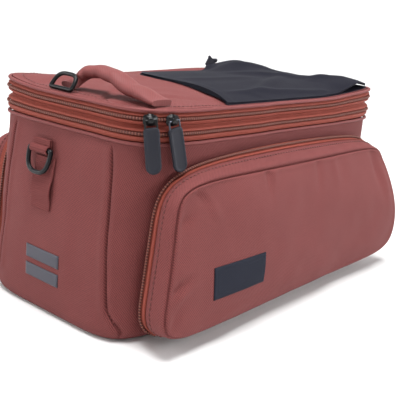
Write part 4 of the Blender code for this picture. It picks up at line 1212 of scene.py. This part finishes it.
def make_pocket_shell(name, side):
    directions = pocket_directions(POCKET_COLUMNS)
    turn = pocket_turn(directions)
    out = np.stack([np.cos(turn), 0 * turn, np.sin(turn)], 1)
    across = np.tile((0.0, float(side), 0.0), (POCKET_COLUMNS, 1))
    columns = np.arange(POCKET_COLUMNS)
    wrinkle = waves(columns, 71, (23, 13, 37, 8), (0.3 * MM, 0.25 * MM, 0.4 * MM, 0.12 * MM))
    walls = []
    for inset in (0.0, POCKET_WALL):
        rings = []
        for share in np.concatenate([np.linspace(0, 0.72, 14), 1 - SEAM_STEPS[::-1] / GUSSET_DEPTH]):
            ring = gusset_point(directions, float(share), side, inset)
            if not inset:
                away = (1 - share) * GUSSET_DEPTH
                ring = ring + out * (wrinkle * bump((share - 0.76) / 0.14, 1) + seam_ridge(away))[:, None]
                ring = ring + seam_shift(np.full(POCKET_COLUMNS, away), out, across)
            rings.append(ring)
        edge = pocket_flat(directions, 1.0, inset) - POCKET_MIDDLE
        radius = np.linalg.norm(edge, axis=1)
        starts = 1 - SEAM_STEPS[-1] / radius
        shares = [1 - step / radius for step in SEAM_STEPS[1:]]
        shares += [starts + (0.02 - starts) * part for part in np.linspace(0.02, 1, 42)]
        for share in shares:
            flat = POCKET_MIDDLE + edge * share[:, None]
            depth = face_depth(flat, share, side) - inset
            ring = np.stack([flat[:, 0], side * depth, flat[:, 1]], 1)
            if not inset:
                away = (1 - share) * radius
                ring = ring + across * seam_ridge(away)[:, None]
                ring = ring + seam_shift(away, out, across)
            rings.append(ring)
        walls.append(np.stack(rings))
    points = np.concatenate([walls[0][::-1], walls[1]])
    closed = once_more(points)
    cloth_run = closed[..., [0, 2]].copy()
    # On the gusset the weave runs along the seam, and on the face it lies flat.
    seam = len(shares)
    for row in range(seam, len(walls[0])):
        climb = np.linalg.norm(closed[row] - closed[seam], axis=1).mean()
        cloth_run[row, :, 0], cloth_run[row, :, 1] = run_along(closed[seam]), climb
    mesh = solid_mesh(name, points, cloth_run=cloth_run, sharp=80)
    add_piece(name + "_cloth", mesh, body_cloth(), name)


def gusset_frame(directions, share, side):
    """Places on the gusset's inner half, with the outward and depth directions."""
    place = gusset_point(directions, share, side)
    ahead = gusset_point(directions + 0.004, share, side)
    behind = gusset_point(directions - 0.004, share, side)
    depth = unit(gusset_point(directions, 0.49, side) - gusset_point(directions, 0.0, side))
    outward = unit(np.cross(ahead - behind, depth))
    reference = np.stack([place[:, 0], 0 * place[:, 0], place[:, 2] - 73.5 * MM], 1)
    flip = np.where(np.einsum("ij,ij->i", outward, reference) < 0, -1.0, 1.0)
    return place, outward * flip[:, None], depth


def zip_directions(count):
    """Directions along the zip, from the rear foot over the top to the front foot, and its length."""
    dense = np.linspace(-math.pi, math.pi * 1.75, 16001)
    turn = np.unwrap(pocket_turn(dense))
    turn += math.tau * round((dense[len(dense) // 2] - turn[len(dense) // 2]) / math.tau)
    dense = dense[(turn >= -math.pi / 4) & (turn <= math.pi * 1.25)]
    run = run_along(pocket_flat(dense, 0.25))
    return np.interp(np.linspace(0, run[-1], count), run, dense), run[-1]


def make_pocket_zip(name, side):
    directions, length = zip_directions(360)
    shares = np.linspace(*POCKET_TAPE_SHARES, 9)
    lift = TOUCH_GAP + POCKET_TAPE_WALL
    upper, lower = [], []
    for share in shares:
        place, outward, _ = gusset_frame(directions, float(share), side)
        groove = -0.3 * MM * (bump((share - 0.17) / 0.02, 1) + bump((share - 0.37) / 0.02, 1))
        upper.append(place + outward * (lift + groove))
        lower.append(place + outward * TOUCH_GAP)
    mesh = solid_mesh(name, np.stack(upper + lower[::-1], 1), sharp=50)
    add_piece(name + "_tape", mesh, tape_cloth(), name + "_zip_tape")

    directions, _ = zip_directions(round(length / sizes().tooth_pitch) * TOOTH_POINTS + 1)
    place, outward, depth = gusset_frame(directions, POCKET_COIL_SHARE, side)
    centre = place + outward * (lift + TOUCH_GAP + POCKET_COIL_RADIUS)
    add_teeth(name + "_teeth", name + "_zip_coil", centre, POCKET_COIL_RADIUS, 0.8 * MM, depth, False)


def face_share(x, z):
    """The share of the way from the face's middle to its edge at each place."""
    edge = pocket_flat(np.linspace(0, math.tau, 4001), 1.0) - POCKET_MIDDLE
    angle = np.unwrap(np.arctan2(edge[:, 1], edge[:, 0]))
    offset = np.stack([x, z], -1) - POCKET_MIDDLE
    here = np.arctan2(offset[..., 1], offset[..., 0])
    here = np.where(here < angle[0], here + math.tau, here)
    return np.linalg.norm(offset, axis=-1) / np.interp(here, angle, np.linalg.norm(edge, axis=1))


def make_label():
    spread = [np.linspace(-0.5, 0.5, count) * size for count, size in zip((71, 29), LABEL_SIZE)]
    x, z = np.meshgrid(*[(middle + part) * MM for middle, part in zip(LABEL_MIDDLE, spread)], indexing="ij")
    off_x, off_z = np.abs(x - LABEL_MIDDLE[0] * MM), np.abs(z - LABEL_MIDDLE[1] * MM)
    edge = np.minimum(LABEL_SIZE[0] / 2 * MM - off_x, LABEL_SIZE[1] / 2 * MM - off_z)
    round_edge = np.sqrt(np.clip(edge / (1.5 * MM), 0.03, 1))
    lift = 0.3 * MM + 0.8 * MM * round_edge - 0.25 * MM * bump(edge - 3.4 * MM, 0.7 * MM)
    wall = face_depth(np.stack([x, z], -1), face_share(x, z), -1)
    outer, inner = [np.stack([x, -(wall + rise), z], -1) for rise in (lift, 0.3 * MM)]
    points = np.concatenate([outer, inner[:, ::-1]], 1)
    mesh = solid_mesh("side_label", points, cloth_run=once_more(points)[..., [0, 2]])
    # Woven label: tight satin weave, dark slate, with hardly any shine.
    look = {"contrast": 0.08, "speckle": 0.4, "roughness": 0.6, "shine": 0.03, "relief": 0.15}
    finish = woven_cloth("woven_satin_label", linear("#262831"), 1.4 * MM, **look)
    add_piece("side_label_cloth", mesh, finish, "side_label")


# Pulls


def finished_mesh(name, shape):
    """Turns a bmesh into a smooth mesh."""
    mesh = bpy.data.meshes.new(name)
    shape.to_mesh(mesh)
    shape.free()
    mesh.shade_smooth()
    return mesh


def rounded_block(name, size, bevel):
    shape = bmesh.new()
    bmesh.ops.create_cube(shape, size=1)
    bmesh.ops.scale(shape, vec=size, verts=shape.verts)
    bmesh.ops.bevel(shape, geom=shape.edges[:], offset=bevel, segments=3, affect="EDGES")
    return finished_mesh(name, shape)


def join_meshes(name, parts):
    """One mesh from several, each (mesh, matrix)."""
    shape = bmesh.new()
    for mesh, matrix in parts:
        mesh.transform(matrix)
        shape.from_mesh(mesh)
        bpy.data.meshes.remove(mesh)
    return finished_mesh(name, shape)


def capsule_loop(width, length, inset, count=48):
    """The outline of a pull tab, squarer at its top end than at its tip."""
    radius = width / 2
    half = count // 2
    points = []
    for centre, start, power in ((-radius, 0.0, 0.45), (radius - length, math.pi, 1.0)):
        for step in range(half):
            turn = start + math.pi * step / (half - 1)
            c, s = [float(signed_power(part, power)) for part in (math.cos(turn), math.sin(turn))]
            points.append(((radius - inset) * c, centre + (radius - inset) * s))
    return np.array(points)


# The tab's face from its middle to its edge: distance in from the outline and half thickness, in millimetres
PULL_TAB_PROFILE = (
    (5.6, 1.15),
    (2.7, 1.15),
    (2.2, 1.3),
    (1.7, 1.65),
    (1.0, 1.7),
    (0.45, 1.5),
    (0.1, 1.0),
    (0.0, 0.35),
)
LINK_HALF = 4.7 * MM
LINK_DROP = 11 * MM
LINK_CORNER = 1.4 * MM


def add_slider(name, place):
    """The slider: a plate with a nose, and the bridge that holds the link."""
    plate = rounded_block(name, (11 * MM, 2.4 * MM, 8 * MM), 0.9 * MM)
    nose = rounded_block(name, (6.5 * MM, 1.6 * MM, 9.4 * MM), 0.7 * MM)
    arch = [(0, 1.9 * MM, -2.0 * MM)]
    for t in np.linspace(math.pi, 0, 15):
        arch.append((0, 3.4 * MM + 1.2 * MM * math.sin(t), -2.0 * MM * math.cos(t)))
    arch.append((0, 1.9 * MM, 2.0 * MM))
    bridge = strap_mesh(name, even_path(arch, 40), (1, 0, 0), 4 * MM, 1.1 * MM, 5)
    slider = join_meshes(name + "_slider", [
        (plate, Matrix.Translation((0, 1.2 * MM, 0))),
        (nose, Matrix.Translation((0, 0.9 * MM, 0))),
        (bridge, Matrix()),
    ])
    slider.transform(place)
    add_piece(name + "_slider_body", slider, cast_slider(), name + "_slider")


def link_path():
    """The link's wire: a rounded rectangle that hangs from its top bar."""
    loop = []
    for x, z, start in ((1, 0, 0), (-1, 0, 90), (-1, -LINK_DROP, 180), (1, -LINK_DROP, 270)):
        middle = x * LINK_HALF - math.copysign(LINK_CORNER, x), z - LINK_CORNER if z == 0 else z + LINK_CORNER
        for step in range(7):
            t = math.radians(start + 15 * step)
            loop.append((middle[0] + LINK_CORNER * math.cos(t), 0, middle[1] + LINK_CORNER * math.sin(t)))
    return np.array(loop)


def add_pull(name, origin, bar, outward, lean, link_finish, link_slot="black_metal"):
    """A slider with its link and its rubber tab, which swing together."""
    upward = bar.cross(outward).normalized()
    if upward.z < 0:
        bar, upward = -bar, -upward
    place = Matrix.Translation(origin) @ Matrix((bar, outward, upward)).transposed().to_4x4()
    add_slider(name, place)

    hang = place @ Matrix.Translation((0, 3.5 * MM, 0)) @ Matrix.Rotation(lean, 4, "Y")
    path = placed(link_path(), hang)
    hint = np.array(hang.to_3x3() @ Vector((0, 1, 0)))
    link = wire_ring(name + "_link", path, 0.78 * MM, 12, hint)
    add_piece(name + "_wire", link, link_finish, name + "_link", name)

    rings = []
    for inset, depth in [*PULL_TAB_PROFILE, *[(inset, -depth) for inset, depth in PULL_TAB_PROFILE[::-1]]]:
        outline = capsule_loop(12.5 * MM, 37 * MM, inset * MM)
        rings.append(np.stack([outline[:, 0], np.full(len(outline), depth * MM), outline[:, 1]], 1))
    tab = solid_mesh(name + "_tab", np.stack(rings) + np.array([0, 0, -5.4 * MM]), sharp=55)
    tab.transform(hang)
    made = add_piece(name + "_rubber", tab, pull_rubber(), name + "_tab", name)
    cut_slot(made, name, path, hint)


def cut_slot(tab, name, path, hint):
    """Cuts the channel in which the wire lies, so that the wire and the rubber stay clear of each other."""
    tool = bpy.data.objects.new(name + "_channel", wire_ring(name + "_channel", path, 1.05 * MM, 12, hint))
    bpy.context.scene.collection.objects.link(tool)
    step = tab.modifiers.new("channel", "BOOLEAN")
    step.operation = "DIFFERENCE"
    step.solver = "EXACT"
    step.object = tool
    graph = bpy.context.evaluated_depsgraph_get()
    cut = bpy.data.meshes.new_from_object(tab.evaluated_get(graph))
    tab.modifiers.clear()
    old = tab.data
    tab.data = cut
    bpy.data.meshes.remove(old)
    bpy.data.objects.remove(tool)


def lid_pull_place(degrees):
    """Where a slider sits on the upper zip, the line of its link's bar and the way out."""
    turn = math.radians(degrees)
    shares = [float(signed_power(part, 2 / SQUARENESS)) for part in (math.cos(turn), math.sin(turn))]
    slopes = [signed_power(share, SQUARENESS - 1) / half for share, half in zip(shares, TOP_HALF)]
    out = Vector((*slopes, 0)).normalized()
    place = Vector((*[(half + 3 * MM) * share for share, half in zip(shares, TOP_HALF)], UPPER_COIL_Z))
    return place + out * TOUCH_GAP, Vector((-out.y, out.x, 0)), out


def pocket_pull_place(side):
    """Where a slider sits on a pocket's zip, the line of its link's bar and the way out."""
    target = math.radians(9)
    dense = np.linspace(0, math.pi / 2, 20001)
    direction, ahead = np.interp((target, target + 0.02), pocket_turn(dense), dense)
    places, outward, _ = gusset_frame(np.array([direction, ahead]), POCKET_COIL_SHARE, side)
    out = Vector(outward[0])
    lift = TOUCH_GAP + POCKET_TAPE_WALL + TOUCH_GAP + 2 * POCKET_COIL_RADIUS + TOUCH_GAP
    return Vector(places[0]) + out * lift, Vector(places[1] - places[0]).cross(out).normalized(), out


# Operators


class RACKBAG_OT_body(bpy.types.Operator):
    """Adds the body cloth and the piping on its top seam"""

    bl_idname = "rackbag.body"
    bl_label = "Body"

    def execute(self, context):
        make_body_shell()
        make_piping("body_piping", BODY_PIPING_Z, 3)
        return {"FINISHED"}


class RACKBAG_OT_zip_bands(bpy.types.Operator):
    """Adds the two zip bands of the lid and their coils"""

    bl_idname = "rackbag.zip_bands"
    bl_label = "Zip bands"

    def execute(self, context):
        make_band("lower_zip_band", *LOWER_BAND, LOWER_COIL_Z, 0.0, -GROOVE)
        make_band("upper_zip_band", *UPPER_BAND, UPPER_COIL_Z, -GROOVE, 0.0)
        make_coil("lower_zip_coil", LOWER_COIL_Z)
        make_coil("upper_zip_coil", UPPER_COIL_Z)
        return {"FINISHED"}


class RACKBAG_OT_lid(bpy.types.Operator):
    """Adds the lid cloth and its rim piping"""

    bl_idname = "rackbag.lid"
    bl_label = "Lid"

    def execute(self, context):
        make_lid_panel()
        make_piping("rim_piping", RIM_PIPING_Z, 4)
        return {"FINISHED"}


class RACKBAG_OT_cover(bpy.types.Operator):
    """Adds the stretch cover on the lid and its webbing end"""

    bl_idname = "rackbag.cover"
    bl_label = "Stretch cover"

    def execute(self, context):
        make_cover()
        # Painted shade: a dark sheet on the lid under the cover's open hem.
        make_cover_shade_sheet()
        make_cover_tab()
        return {"FINISHED"}


class RACKBAG_OT_handle(bpy.types.Operator):
    """Adds the padded handle and the ring over its rear foot"""

    bl_idname = "rackbag.handle"
    bl_label = "Handle"

    def execute(self, context):
        make_handle()
        make_handle_ring()
        return {"FINISHED"}


class RACKBAG_OT_rear_end(bpy.types.Operator):
    """Adds the ring, its webbing, the light strap and the two reflective bars"""

    bl_idname = "rackbag.rear_end"
    bl_label = "Rear end"

    def execute(self, context):
        make_rear_ring()
        make_ring_tab()
        make_light_loop()
        make_rear_patches()
        return {"FINISHED"}


class RACKBAG_OT_pockets(bpy.types.Operator):
    """Adds the two side pockets with their zips"""

    bl_idname = "rackbag.pockets"
    bl_label = "Pockets"

    def execute(self, context):
        for name, side in (("near_pocket", -1), ("far_pocket", 1)):
            make_pocket_shell(name, side)
            make_pocket_zip(name, side)
        return {"FINISHED"}


class RACKBAG_OT_label(bpy.types.Operator):
    """Adds the plain cloth label"""

    bl_idname = "rackbag.label"
    bl_label = "Label"

    def execute(self, context):
        make_label()
        return {"FINISHED"}


class RACKBAG_OT_pulls(bpy.types.Operator):
    """Adds the zip sliders with their links and rubber pulls"""

    bl_idname = "rackbag.pulls"
    bl_label = "Zip pulls"

    def execute(self, context):
        # Plated steel wire: dark and metallic, a little rough.
        steel = moulded_surface("dark_plated_steel_wire", linear("#4A4C54"), 0.35, 1.0, grain=0.05, shine=0.5)
        add_pull("rear_pull", *lid_pull_place(219), math.radians(8), black_wire())
        add_pull("side_pull", *lid_pull_place(236), math.radians(15), steel, "grey_metal")
        for name, side in (("near_pocket_pull", -1), ("far_pocket_pull", 1)):
            add_pull(name, *pocket_pull_place(side), 0.0, black_wire())
        return {"FINISHED"}


def add_stitches(name, path, normals):
    mesh = stitch_mesh(name, path, normals, sizes().stitch_pitch, sizes().stitch_radius)
    add_piece(name, mesh, thread_material())


# How far out on the lid its stitches run, and where they stop toward the front
LID_STITCH_SHARE = 0.955
LID_STITCH_END = -100 * MM


class RACKBAG_OT_stitching(bpy.types.Operator):
    """Adds the rows of stitches on the pockets and the lid"""

    bl_idname = "rackbag.stitching"
    bl_label = "Stitching"

    def execute(self, context):
        for name, side in (("near", -1), ("far", 1)):
            directions, _ = zip_directions(500)
            place = gusset_point(directions, 0.6, side)
            _, outward, _ = gusset_frame(directions, 0.3, side)
            add_stitches(name + "_pocket_stitches", place + outward * 0.15 * MM, outward)
        side, wide = unit_plan(even_turns(700)[0])
        x, y = LID_HALF[0] * LID_STITCH_SHARE * side, LID_HALF[1] * LID_STITCH_SHARE * wide
        bare = x < LID_STITCH_END
        x, y = x[bare], y[bare]
        order = np.argsort(np.arctan2(y, LID_STITCH_END - x))
        x, y = x[order], y[order]
        path = np.stack([x, y, lid_top(x, y) + lid_relief(x, y) + 0.1 * MM], 1)
        add_stitches("lid_edge_stitches", path, np.tile((0.0, 0.0, 1.0), (len(path), 1)))
        return {"FINISHED"}


# The camera: its place in metres, and its own right, down and forward directions
CAMERA_PLACE = (-0.57495, -0.45158, 0.27659)
CAMERA_ROWS = (
    (0.63483646, -0.76699708, 0.09326382),
    (-0.15097874, -0.24152304, -0.95857814),
    (0.757752, 0.5944595, -0.26912789),
)
FOCAL_PIXELS = 705.71
PICTURE_PIXELS = 400
SENSOR = 36
BACKDROP_RADIUS = 2.6
BACKDROP_BEND = 1.2
BACKDROP_HEIGHT = 2.4
WORLD_STRENGTH = 0.05
# Each light's name, place, size, power in watts and the point it is aimed at
LIGHTS = (
    ("top_light", (-0.2, -0.1, 2.1), 1.5, 84, (0, 0, 0.1)),
    ("side_light", (1.1, -1.4, 0.7), 0.9, 18, (0, 0, 0.1)),
    ("end_light", (-1.3, 1.2, 0.7), 0.9, 12, (0, 0, 0.1)),
    ("backdrop_light", (0.9, 0.7, 1.9), 1.2, 10, (2.4, 1.9, 0.6)),
)


def make_backdrop(scene):
    """One smooth bowl of matt paper, so that every side of the bag has the same pale ground."""
    inner = BACKDROP_RADIUS - BACKDROP_BEND
    profile = [(0.001, 0.0), (0.6, 0.0), (1.2, 0.0), (inner, 0.0)]
    for t in np.linspace(0.1, math.pi / 2, 16):
        profile.append((inner + BACKDROP_BEND * math.sin(t), BACKDROP_BEND - BACKDROP_BEND * math.cos(t)))
    profile.append((BACKDROP_RADIUS, BACKDROP_HEIGHT))
    turn = math.tau * np.arange(96) / 96
    rings = [[(r * math.cos(t), r * math.sin(t), z - 0.5 * MM) for t in turn] for r, z in profile]
    floor = bpy.data.objects.new("floor", grid_mesh("floor", np.array(rings)))
    # Matt paper: an even pale grey that shows no highlight.
    finish, _, _ = new_material("matt_paper_backdrop", Base_Color=(0.75, 0.75, 0.75, 1), Roughness=0.9)
    floor.data.materials.append(finish)
    scene.collection.objects.link(floor)


def make_lights(scene):
    world = bpy.data.worlds.new("studio")
    world.use_nodes = True
    background = world.node_tree.nodes["Background"]
    background.inputs["Color"].default_value = (1, 1, 1, 1)
    background.inputs["Strength"].default_value = WORLD_STRENGTH
    scene.world = world
    for name, place, size, power, aim in LIGHTS:
        light = bpy.data.lights.new(name, "AREA")
        light.shape = "DISK"
        light.size = size
        light.energy = power
        lamp = bpy.data.objects.new(name, light)
        lamp.location = place
        lamp.rotation_euler = (Vector(aim) - Vector(place)).to_track_quat("-Z", "Y").to_euler()
        scene.collection.objects.link(lamp)


def make_camera(scene):
    lens = bpy.data.cameras.new("camera")
    lens.sensor_width = SENSOR
    lens.lens = FOCAL_PIXELS / PICTURE_PIXELS * SENSOR
    camera = bpy.data.objects.new("camera", lens)
    right, down, ahead = [Vector(row) for row in CAMERA_ROWS]
    turned = Matrix((right, -down, -ahead)).transposed().to_4x4()
    camera.matrix_world = Matrix.Translation(CAMERA_PLACE) @ turned
    scene.collection.objects.link(camera)
    scene.camera = camera


class RACKBAG_OT_stage(bpy.types.Operator):
    """Adds the pale floor, the soft studio lights and the camera"""

    bl_idname = "rackbag.stage"
    bl_label = "Stage"

    def execute(self, context):
        make_backdrop(context.scene)
        make_lights(context.scene)
        make_camera(context.scene)
        context.scene.view_settings.view_transform = "Standard"
        return {"FINISHED"}


class RACKBAG_PT_panel(bpy.types.Panel):
    """Lists the rack bag's sizes, colours and pieces"""

    bl_idname = "RACKBAG_PT_panel"
    bl_label = "Rack bag"
    bl_space_type = "VIEW_3D"
    bl_region_type = "UI"
    bl_category = "Rack bag"

    def draw(self, context):
        for group in (context.scene.rack_bag_colours, context.scene.rack_bag_sizes):
            for name in group.bl_rna.properties.keys():
                if name not in ("rna_type", "name"):
                    self.layout.prop(group, name)
        for operator in OPERATORS:
            self.layout.operator(operator.bl_idname)


OPERATORS = (
    RACKBAG_OT_stage,
    RACKBAG_OT_body,
    RACKBAG_OT_zip_bands,
    RACKBAG_OT_lid,
    RACKBAG_OT_cover,
    RACKBAG_OT_handle,
    RACKBAG_OT_rear_end,
    RACKBAG_OT_pockets,
    RACKBAG_OT_label,
    RACKBAG_OT_pulls,
    RACKBAG_OT_stitching,
)
CLASSES = (RackBagColours, RackBagSizes, *OPERATORS, RACKBAG_PT_panel)


def register():
    for item in CLASSES:
        bpy.utils.register_class(item)
    bpy.types.Scene.rack_bag_colours = PointerProperty(type=RackBagColours)
    bpy.types.Scene.rack_bag_sizes = PointerProperty(type=RackBagSizes)


def unregister():
    del bpy.types.Scene.rack_bag_sizes
    del bpy.types.Scene.rack_bag_colours
    for item in reversed(CLASSES):
        bpy.utils.unregister_class(item)


def main():
    register()
    for operator in OPERATORS:
        group, name = operator.bl_idname.split(".")
        getattr(getattr(bpy.ops, group), name)()


if __name__ == "__main__":
    main()
